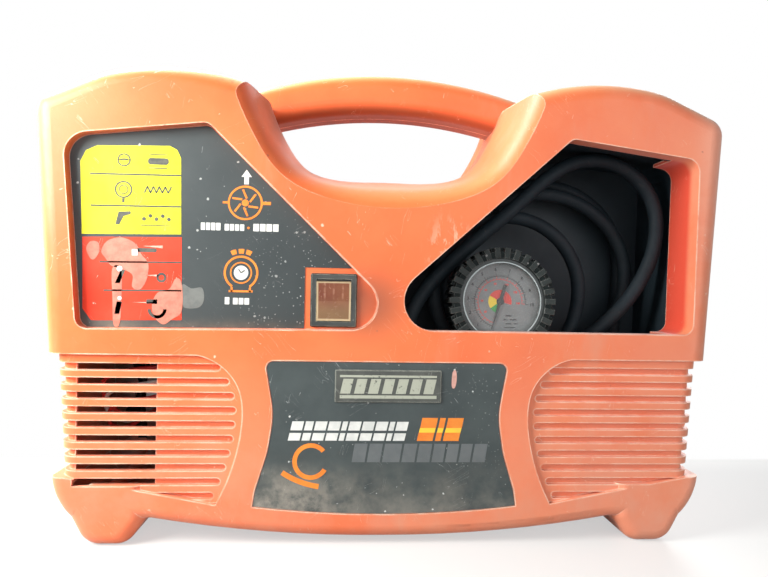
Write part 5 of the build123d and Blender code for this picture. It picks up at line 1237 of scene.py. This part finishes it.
@dataclass
class AirHose:
    """The hose from the case's outlet, round its coil to the gun, in metres and degrees."""

    radius: float = 0.0055
    length: float = 1.725
    steps: int = 14
    lead: tuple[Colour, ...] = ((0.196, -0.012, 0.119), (0.196, -0.011, 0.138), (0.2005, -0.0075, 0.160))
    # centre x, centre z and radius where each full turn starts, from the back to the front
    turns: tuple[Colour, ...] = (
        (0.1330, 0.1975, 0.0705), (0.1350, 0.1965, 0.0705), (0.0995, 0.1775, 0.0600),
    )
    back: float = -0.0065
    pitch: float = 0.0116
    rise: tuple[Colour, ...] = (
        (0.150, -0.0415, 0.1345), (0.174, -0.0435, 0.1510), (0.195, -0.0455, 0.1730),
        (0.2090, -0.0475, 0.1990),
    )
    top: Colour = (0.163, -0.0490, 0.2310)
    top_radius: float = 0.051
    top_start: float = -8.0
    top_step: float = 28.0
    coil_start: float = -14.0
    slack: float = 0.995  # the control points lie this much closer, so that the line meets its radius
    approach: Span = (-0.0104, 0.002)  # last bend before the ferrule: to its left, and over its axis
    fall: tuple[Colour, ...] = (
        (0.098, -0.0490, 0.2410), (0.068, -0.0490, 0.2150), (0.046, -0.0490, 0.1950),
        (0.029, -0.0510, 0.1760), (0.018, -0.0545, 0.1570), (0.0147, -0.0600, 0.1380),
        (0.0225, -0.0655, 0.1228),
    )

    def reach(self, radius: float, step: float) -> float:
        """Radius of control points, some step in radians apart, whose soft line has the given radius."""
        return radius / math.cos(step / 2) * self.slack

    def crest(self) -> list[Vector]:
        """Control points of the last wide bend, over the top of the coil."""
        reach, points = self.reach(self.top_radius, math.radians(self.top_step)), []
        for turn in (math.radians(self.top_start + self.top_step * k) for k in range(6)):
            points.append(Vector(self.top) + Vector((reach * math.cos(turn), 0.0, reach * math.sin(turn))))
        return points

    def route(self) -> list[Vector]:
        """Lays out the hose's line, from the outlet to the gun's ferrule.

        Returns:
            Its control points.
        """
        points = [Vector(p) for p in self.lead]
        for turn, start in enumerate(self.turns):
            last = turn == len(self.turns) - 1
            after = start if last else self.turns[turn + 1]
            for k in range(self.steps - last):
                share = k / self.steps
                angle = math.radians(self.coil_start + 360 * share)
                x, z, radius = (a + (b - a) * share for a, b in zip(start, after))
                reach = self.reach(radius, 2 * math.pi / self.steps)
                depth = self.back - self.pitch * (turn + share)
                points.append(Vector((x + reach * math.cos(angle), depth, z + reach * math.sin(angle))))
        points += [Vector(p) for p in self.rise] + self.crest() + [Vector(p) for p in self.fall]
        low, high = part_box("hose_ferrule")
        axis = (low + high) / 2
        before, over = self.approach
        points += [Vector((low.x + before, axis.y, axis.z + over)), Vector((low.x, axis.y, axis.z))]
        return points

    def build(self) -> bpy.types.Object:
        """Lays the hose.

        Returns:
            The hose as one curve.
        """
        points = self.route()
        made = own(tube("air_hose", points, self.radius, 5), HOSE)
        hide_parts("hose_coil", "hose_lead", "hose_tail")
        return made


# ---------------------------------------------------------------- gauge


@dataclass(frozen=True)
class DialPrint:
    """Sizes of the gauge's printed face, in millimetres and in degrees anticlockwise from its right."""

    face: float = -7.2  # printed side of the dial, from the pointer's joint
    lift: float = 0.08
    zero: float = 252.0
    full: float = -5.0
    steps: int = 10
    disc: float = 8.8
    red_arc: float = 16.4
    black_arc: float = 18.9
    tick: float = 2.6
    small_tick: float = 1.4
    line: float = 0.4
    bold: float = 0.12  # what thickens the numbers' strokes
    sunk: float = 0.02  # how far the print's underside lies over the dial

    @property
    def high(self) -> float:
        """Height of the print's upper side."""
        return self.face + self.lift


@dataclass
class Gauge:
    """The gauge's printed face, its numbers and the ribs of its rubber boot."""

    dial: DialPrint = DialPrint()
    ribs: int = 30
    rib_inner: float = 31.4
    rib_outer: float = 39.5
    rib_wide: float = 4.4
    rib_low: float = -4.0
    rib_high: float = 1.6
    rib_round: float = 0.7
    lip: float = 28.3
    lip_wide: float = 0.8
    lip_low: float = -1.0
    lip_high: float = -0.38
    cap: float = 1.9
    cap_low: float = -6.1
    cap_high: float = -5.3
    cap_round: float = 0.25
    board: Board = field(init=False)

    def __post_init__(self) -> None:
        """Finds the gauge's plane from the pointer's joint."""
        joint = next(j for j in frame["joints"] if j["name"] == "gauge_reading")
        out = -Vector(joint["axis"]).normalized()
        right = Vector((1.0, 0.0, 0.0))
        self.board = Board(Vector(joint["pos_m"]), right, out.cross(right))

    def turn(self, share: float) -> float:
        """Angle of a reading, as a share of the full scale."""
        return self.dial.zero + (self.dial.full - self.dial.zero) * share

    def ticks(self, radius: float, count: int, long_every: int) -> list[Outline]:
        """Outlines of the ticks that stand outwards on an arc.

        Args:
            radius: The arc's radius.
            count: Number of spaces between ticks.
            long_every: Every so many ticks one is long.

        Returns:
            Their outlines.
        """
        marks = []
        for k in range(count + 1):
            reach = radius + (self.dial.tick if k % long_every == 0 else self.dial.small_tick)
            marks.append(ray(math.radians(self.turn(k / count)), radius, reach, self.dial.line))
        return marks

    def numbers(self, name: str, values: list[str], radius: float, size: float, finish: Finish) -> None:
        """Sets plain numbers round the dial.

        Args:
            name: Name of the piece.
            values: The numbers, from zero to full scale.
            radius: Radius on which they stand.
            size: Their height.
            finish: Their finish.
        """
        whole = bmesh.new()
        for k, value in enumerate(values):
            angle = math.radians(self.turn(k / (len(values) - 1)))
            text = bpy.data.curves.new("number", "FONT")
            text.body, text.size, text.align_x, text.align_y = value, size * MM, "CENTER", "CENTER"
            text.offset, text.resolution_u = self.dial.bold * MM, 3
            holder = linked("number", text)
            flat = bpy.data.meshes.new_from_object(holder)
            centre = self.board.at(radius * math.cos(angle), radius * math.sin(angle), self.dial.high)
            turned = Matrix((self.board.right, self.board.up, self.board.out)).transposed().to_4x4()
            flat.transform(Matrix.Translation(centre) @ turned)
            whole.from_mesh(flat)
            bpy.data.objects.remove(holder)
            bpy.data.curves.remove(text)
            bpy.data.meshes.remove(flat)
        own(settled(name, whole), finish)

    def printing(self) -> None:
        """Prints the scales, the coloured disc, the numbers, and strokes in place of a unit and a class."""
        dial, low, high = self.dial, self.dial.face + self.dial.sunk, self.dial.high
        for name, finish, start, end in (
            ("dial_disc_red", DIAL_RED, -15, 150), ("dial_disc_yellow", DIAL_YELLOW, 150, 215),
            ("dial_disc_green", DIAL_GREEN, 215, 250),
        ):
            wedge = [(0.0, 0.0)] + arc_band(0, 0, 0, dial.disc, start, end)
            own(self.board.plate(name, [wedge], low, high), finish)
        for name, finish, arc, count, every in (
            ("dial_scale_black", DIAL_BLACK, dial.black_arc, 50, 5),
            ("dial_scale_red", DIAL_RED, dial.red_arc, 30, 3),
        ):
            scale = arc_band(0, 0, arc, arc + dial.line, dial.full, dial.zero, 60)
            own(self.board.plate(name, [scale, *self.ticks(arc, count, every)], low, high), finish)
        self.numbers("dial_numbers", [str(k) for k in range(11)], 24.2, 3.4, DIAL_BLACK)
        self.numbers("dial_numbers_red", [str(20 * k) for k in range(8)], 13.6, 2.0, DIAL_RED)
        strokes = [bar(u0, v, u1, v, wide) for u0, u1, v, wide in (
            (4.0, 8.6, -10.5, 1.0), (2.5, 5.6, -13.4, 1.2), (7.2, 12.6, -13.4, 1.0), (4.2, 9.0, -16.4, 0.8),
            (10.4, 13.2, -16.4, 0.8), (3.2, 11.4, -19.2, 0.6),
        )]
        own(self.board.plate("dial_strokes", strokes, low, high), DIAL_BLACK)

    def hub(self) -> None:
        """Puts the turned cap on the pointer's spindle."""
        cap = self.board.plate("pointer_cap", [dot(0, 0, self.cap, 28)], self.cap_low, self.cap_high)
        soften(own(cap, POINTER, "pointer"), self.cap_round)

    def lens_rim(self) -> None:
        """Turns the bright lip where the lens meets its bezel."""
        lip = arc_band(0, 0, self.lip, self.lip + self.lip_wide, steps=90)
        own(self.board.plate("lens_lip", [lip], self.lip_low, self.lip_high), RIM)

    def boot_ribs(self) -> None:
        """Moulds the ribs round the rubber boot's face."""
        turns = (2 * math.pi * k / self.ribs for k in range(self.ribs))
        outlines = [ray(angle, self.rib_inner, self.rib_outer, self.rib_wide) for angle in turns]
        piece = own(self.board.plate("boot_ribs", outlines, self.rib_low, self.rib_high), RIBS)
        soften(piece, self.rib_round)

    def build(self) -> None:
        """Makes all of the gauge's pieces."""
        self.printing()
        self.hub()
        self.lens_rim()
        self.boot_ribs()


# ---------------------------------------------------------------- label, badge and wires


@dataclass
class ControlLabel:
    """The stickers, pictures and glue marks on the charcoal control label, in millimetres."""

    thick: float = 0.12
    fan: Span = (118.4, 87.5)
    tyre: Span = (116.4, 39.0)
    board: Board = field(init=False)

    def __post_init__(self) -> None:
        """Finds the label's face; u and v run from its lower left corner."""
        low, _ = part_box("control_label")
        self.board = Board(Vector((low.x, low.y, low.z)))

    def plate(self, name: str, outlines: list[Outline], finish: Finish, lift: float = 0.0) -> None:
        """Lays printed shapes on the label.

        Args:
            name: Name of the piece.
            outlines: Their outlines.
            finish: Their finish.
            lift: Height over the label, for what lies on a sticker.
        """
        own(self.board.plate(name, outlines, lift - 0.02, lift + self.thick), finish)

    def stickers(self) -> None:
        """Lays the yellow and the red legend with their row lines."""
        yellow = [
            (8.8, 63.4), (75.2, 64.6), (74.2, 117.0), (71.4, 122.6), (66.5, 125.2), (18.0, 123.9),
            (10.6, 120.4), (7.0, 113.0),
        ]
        red = [(16.0, 4.6), (76.6, 5.6), (75.6, 62.6), (9.2, 61.4), (10.2, 12.5)]
        self.plate("legend_yellow_film", [yellow], YELLOW)
        self.plate("legend_red_film", [red], RED)
        lines = [bar(13.5, 104.6, 74.3, 105.0, 1.1), bar(14.5, 83.0, 74.6, 83.5, 1.1)]
        lines += [bar(21.0, 44.6, 75.5, 45.2, 1.1), bar(24.0, 25.2, 76.0, 25.8, 1.1)]
        self.plate("legend_lines", lines, PRINT, self.thick)

    def pictures(self) -> None:
        """Prints small plain pictures of what the air is for: a ball, a tyre, a nozzle, a lilo and such."""
        ball = [arc_band(36, 114.6, 3.6, 4.5), bar(32.2, 114.6, 39.8, 114.6, 0.6)]
        tyre = [arc_band(36, 109.5, 5.6, 6.2, 55, 125, 8), arc_band(36, 94.4, 4.9, 5.9)]
        tyre += [arc_band(36, 94.4, 2.6, 3.2), bar(36, 85.6, 36, 88.4, 1.6)]
        nozzle = [[(31, 70.4), (33.6, 70.4), (36.4, 76.2), (41.0, 77.6), (41.0, 79.6), (33.0, 79.2)]]
        lilo = [rounded(52, 112, 66, 116.5, 2.0)]
        lilo += [bar(53, 109.6, 65, 109.6, 0.7), bar(53, 118.9, 65, 118.9, 0.6)]
        waves = [bar(50 + 4 * k, 92.5, 52 + 4 * k, 97.0, 0.9) for k in range(5)]
        waves += [bar(52 + 4 * k, 97.0, 54 + 4 * k, 92.5, 0.9) for k in range(4)]
        drops = [dot(50 + 4.2 * k, 74.6 + 2.2 * (k % 2), 1.3, 12) for k in range(5)]
        drops.append(bar(48, 70.2, 68, 70.2, 0.6))
        every = ball + tyre + nozzle + lilo + waves + drops
        self.plate("legend_pictures_yellow", every, PRINT, self.thick)
        wedge = [[(31.5, 30.2), (34.6, 30.2), (38.2, 39.4), (35.2, 39.4)]]
        wheel = [arc_band(62.5, 34.6, 1.8, 3.4), arc_band(60.0, 12.8, 4.2, 6.4, 180, 360)]
        wheel.append(bar(52.6, 18.0, 60.0, 18.0, 3.0))
        brush = [[(31.5, 9.2), (34.8, 9.2), (36.4, 17.6), (32.8, 17.6)], rounded(46, 51.8, 59, 54.6, 1.2)]
        self.plate("legend_pictures_red", wedge + wheel + brush, PRINT, self.thick)

    def fan_drawing(self) -> None:
        """Prints the orange fan wheel with a white arrow."""
        cu, cv = self.fan
        wheel = [arc_band(cu, cv, 10.6, 12.0, steps=48), dot(cu, cv, 2.4)]
        for foot in (math.radians(60 * k + 12) for k in range(6)):
            tip = foot + 0.5
            u0, v0 = cu + 3.2 * math.cos(foot), cv + 3.2 * math.sin(foot)
            wheel.append(bar(u0, v0, cu + 9.4 * math.cos(tip), cv + 9.4 * math.sin(tip), 1.4))
        wheel += [bar(cu + 12.0, cv, cu + 17.6, cv, 2.2), bar(cu - 15.4, cv, cu - 12.0, cv, 1.6)]
        self.plate("drawing_fan", wheel, ORANGE_PRINT)
        arrow = [
            (-1.0, 12.8), (2.2, 12.8), (2.2, 18.0), (4.2, 18.0), (0.6, 23.0), (-3.0, 18.0), (-1.0, 18.0),
        ]
        self.plate("drawing_arrow", [[(cu + u, cv + v) for u, v in arrow]], WHITE_PRINT)

    def tyre_drawing(self) -> None:
        """Prints the orange tyre on its stand with a white round face in it."""
        cu, cv = self.tyre
        tyre = [arc_band(cu, cv, 10.4, 11.9, -58, 238, 48), arc_band(cu, cv, 6.6, 7.6, steps=36)]
        tyre += [bar(cu + u, cv - 10.0, cu + u, cv - 13.4, 1.4) for u in (-6.2, 6.2)]
        tyre.append(bar(cu - 8.2, cv - 12.8, cu + 8.2, cv - 12.8, 1.4))
        self.plate("drawing_tyre", tyre, ORANGE_PRINT)
        self.plate("drawing_face", [dot(cu, cv, 5.0)], WHITE_PRINT)
        hands = [bar(cu, cv, cu + 3.0 * math.cos(a), cv + 3.0 * math.sin(a), 0.7) for a in (0.6, 2.2)]
        self.plate("drawing_needles", hands, PRINT, self.thick)

    def captions(self) -> None:
        """Lays plain blocks where captions stand: white rows, and an orange arc over the tyre."""
        white = []
        for u, v, count, wide, tall in (
            (88.4, 68.0, 4, 2.9, 5.2), (104.6, 68.0, 4, 2.9, 4.6), (124.2, 68.0, 4, 3.9, 5.2),
            (105.6, 17.0, 1, 3.2, 5.0), (111.2, 17.0, 3, 3.3, 4.6),
        ):
            starts = (u + k * (wide + 0.6) for k in range(count))
            white += [rounded(start, v, start + wide, v + tall, 0.4) for start in starts]
        self.plate("caption_white", white, WHITE_PRINT)
        arc = [arc_band(*self.tyre, 13.3, 16.6, start, start + 14, 4) for start in (63, 83, 103)]
        self.plate("caption_orange", [*arc, dot(120.9, 70.2, 0.9, 12)], ORANGE_PRINT)

    def marks(self) -> None:
        """Leaves old glue, a torn scrap and paint specks."""
        upper = [
            (25, 47), (22, 52), (26, 59), (35, 61.5), (44, 58), (49, 50), (53.5, 44), (52.6, 33), (48, 26),
            (43, 28), (43, 36), (36, 40), (29, 42),
        ]
        streak = [(29.5, 40), (35.5, 40), (36, 20), (35.0, 2.5), (31.0, 2.2), (30.0, 20)]
        lower = [
            (58, 8), (56.5, 16), (60, 24), (68, 27), (72, 34), (76.2, 31), (76.6, 12), (70, 6), (64, 2.5),
        ]
        corner = [(12, 54), (15, 58.5), (20, 57.5), (20.5, 51), (17, 46), (14, 48)]
        for name, patch in zip(("upper", "streak", "lower", "corner"), (upper, streak, lower, corner)):
            self.plate(f"glue_{name}", [smooth(patch)], GLUE, self.thick)
        grey = [(76.5, 30), (83, 27.5), (90, 28), (91.5, 20), (88, 14.5), (79, 14), (76.8, 18)]
        self.plate("glue_grey", [smooth(grey)], GREY_GLUE)
        specks = [rounded(42.4, 49.4, 46.4, 53.6, 0.3), dot(34.4, 40.2, 1.9, 16), dot(34.8, 20.0, 1.4, 12)]
        self.plate("paint_specks", specks, WHITE_PRINT, 2 * self.thick)
        rubs = [
            [(49.5, 56.0), (63.0, 54.6), (63.0, 56.6)], [(50.5, 36.0), (60.5, 35.2), (60.5, 36.6)],
            [(43, 17.4), (58.0, 16.6), (58.0, 17.6)],
        ]
        self.plate("rubbed_print", rubs, WORN_RED, self.thick)

    def build(self) -> None:
        """Makes all that is on the label."""
        self.stickers()
        self.pictures()
        self.fan_drawing()
        self.tyre_drawing()
        self.captions()
        self.marks()


@dataclass
class Badge:
    """A plain striped pattern printed on the dark badge, in millimetres."""

    thick: float = 0.1
    board: Board = field(init=False)

    def __post_init__(self) -> None:
        """Finds the badge's face; u is from the case's middle and v from the badge's lowest line."""
        low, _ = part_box("badge_plate")
        self.board = Board(Vector((0.0, low.y, low.z)))

    def slab(self, foot: float, width: float, low: float, high: float, lean: float) -> Outline:
        """Outline of a leaning slab.

        Args:
            foot: Left end of its foot.
            width: Its width.
            low: Height of its foot.
            high: Height of its top.
            lean: How far its top lies to the right of its foot.

        Returns:
            Its corners.
        """
        return [(foot, low), (foot + width, low), (foot + width + lean, high), (foot + lean, high)]

    def row(self, start: float, widths: tuple[float, ...], gap: float) -> list[tuple[float, float]]:
        """Lays slabs in a row.

        Args:
            start: Where the first begins.
            widths: Their widths.
            gap: Space between two.

        Returns:
            Where each begins, and its width.
        """
        return [(start + sum(widths[:k]) + k * gap, width) for k, width in enumerate(widths)]

    def build(self) -> None:
        """Prints the slabs and arcs, and leaves a scuff."""
        white, orange, yellow = [], [], []
        for foot, width in self.row(-68.0, (8.0, 5.5, 8.0, 8.0, 3.5, 8.0, 8.0, 8.0, 3.5, 8.0), 1.3):
            white.append(self.slab(foot, width, 50.4, 55.6, 1.2))
            white.append(self.slab(foot + 1.6, width, 57.4, 63.6, 1.4))
        for foot, width in self.row(21.0, (11.0, 4.0, 11.0), 1.6):
            orange.append(self.slab(foot, width, 50.4, 56.2, 1.2))
            orange.append(self.slab(foot + 2.2, width, 59.4, 66.4, 1.4))
            yellow.append(self.slab(foot + 1.3, width, 56.2, 59.4, 0.8))
        grey_row = self.row(-24.0, (9.0, 9.0, 12.0, 9.0, 9.0, 8.0, 8.0, 8.0, 9.0), 1.5)
        grey = [self.slab(foot, width, 35.6, 48.4, 2.0) for foot, width in grey_row]
        orange.append(arc_band(-38.0, 78.0, 58.0, 61.6, 236, 262, 16))
        orange.append(arc_band(-52.0, 36.0, 9.5, 12.6, 40, 330, 28))
        scuff = smooth([(44.8, 88.4), (47.0, 87.6), (48.2, 94.0), (47.4, 99.6), (45.2, 98.0)])
        for name, outlines, finish in (
            ("badge_white", white, WHITE_PRINT), ("badge_orange", orange, ORANGE_PRINT),
            ("badge_yellow", yellow, YELLOW_PRINT), ("badge_grey", grey, GREY_PRINT),
            ("badge_scuff", [scuff], SCUFF),
        ):
            own(self.board.plate(name, outlines, -0.02, self.thick), finish)


@dataclass
class Wiring:
    """Loose wires inside the case, seen through the louvres on the left, in metres."""

    radius: float = 0.0016
    apart: float = 0.006  # from one wire to the next

    def route(self, shift: float) -> list[Colour]:
        """Lays out a wire from the switch's tags down to the motor's end windings.

        Args:
            shift: How far it lies from the first wire.

        Returns:
            Its control points.
        """
        low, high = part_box("switch_body")
        tag_x, tag_y, tag_z = (low.x + high.x) / 2, high.y, (low.z + high.z) / 2
        core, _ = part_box("stator_core")
        return [
            (tag_x - 0.006 + shift, tag_y, tag_z - 0.007),
            (tag_x - 0.02, tag_y + 0.008, tag_z - 0.03 - shift),
            (-0.115, -0.062 + shift, 0.121 - shift),
            (-0.165, -0.071 + shift, 0.119 - 2 * shift),
            (-0.203, -0.066 + shift, 0.113 - 2 * shift),
            (-0.207, -0.056 + shift, 0.094 - 2 * shift),
            (-0.196, -0.046 + shift, 0.078 - shift),
            (-0.186, core.y - 0.012, core.z + 0.04),
            (core.x - 0.008, core.y + 0.004, core.z + 0.045),
        ]

    def build(self) -> None:
        """Lays the wires."""
        wires = (("wire_live", WIRE_RED), ("wire_neutral", WIRE_WHITE), ("wire_capacitor", WIRE_RED))
        for k, (name, finish) in enumerate(wires):
            own(tube(name, self.route(self.apart * k), self.radius, 3), finish)


def clear_plastic(
    tint: Colour = (0.7, 0.74, 0.74), rough: float = 0.08, body: float = 0.05, marked: float = 0.2,
) -> bpy.types.Material:
    """Makes the clear plastic of the gauge's lens.

    Args:
        tint: Its faint colour.
        rough: Its roughness.
        body: How much of what lies behind it the plastic hides.
        marked: How much more a scratch hides.

    Returns:
        The material.
    """
    made, graph, inputs = blank("clear_lens")
    inputs["Base Color"].default_value = (*tint, 1.0)
    inputs["Roughness"].default_value = rough
    marks = Shared.SCRATCHES.placed(graph, Scale=120.0, Share=0.3, Fineness=0.02)
    graph.join(graph.math("MULTIPLY_ADD", marks, marked, body), inputs["Alpha"])
    return made


def dress_nodes() -> None:
    """Gives the carried pieces their materials."""
    materials = {node: finish.material() for node, finish in CARRIED.items()}
    materials["gauge_glass"] = clear_plastic()
    for node, material in materials.items():
        for slot in frame["nodes"][node].material_slots:
            slot.material = material
        log.info("piece %s has %s", node, material.name)


def main() -> None:
    """Builds the scene in order and reports each piece."""
    logging.basicConfig(level=logging.INFO, format="%(name)s: %(message)s")
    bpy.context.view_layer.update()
    for group in (Studio(), AirHose(), Gauge(), ControlLabel(), Badge(), Wiring()):
        log.info("group %s", type(group).__name__)
        group.build()
    dress_nodes()


if __name__ == "__main__":
    main()
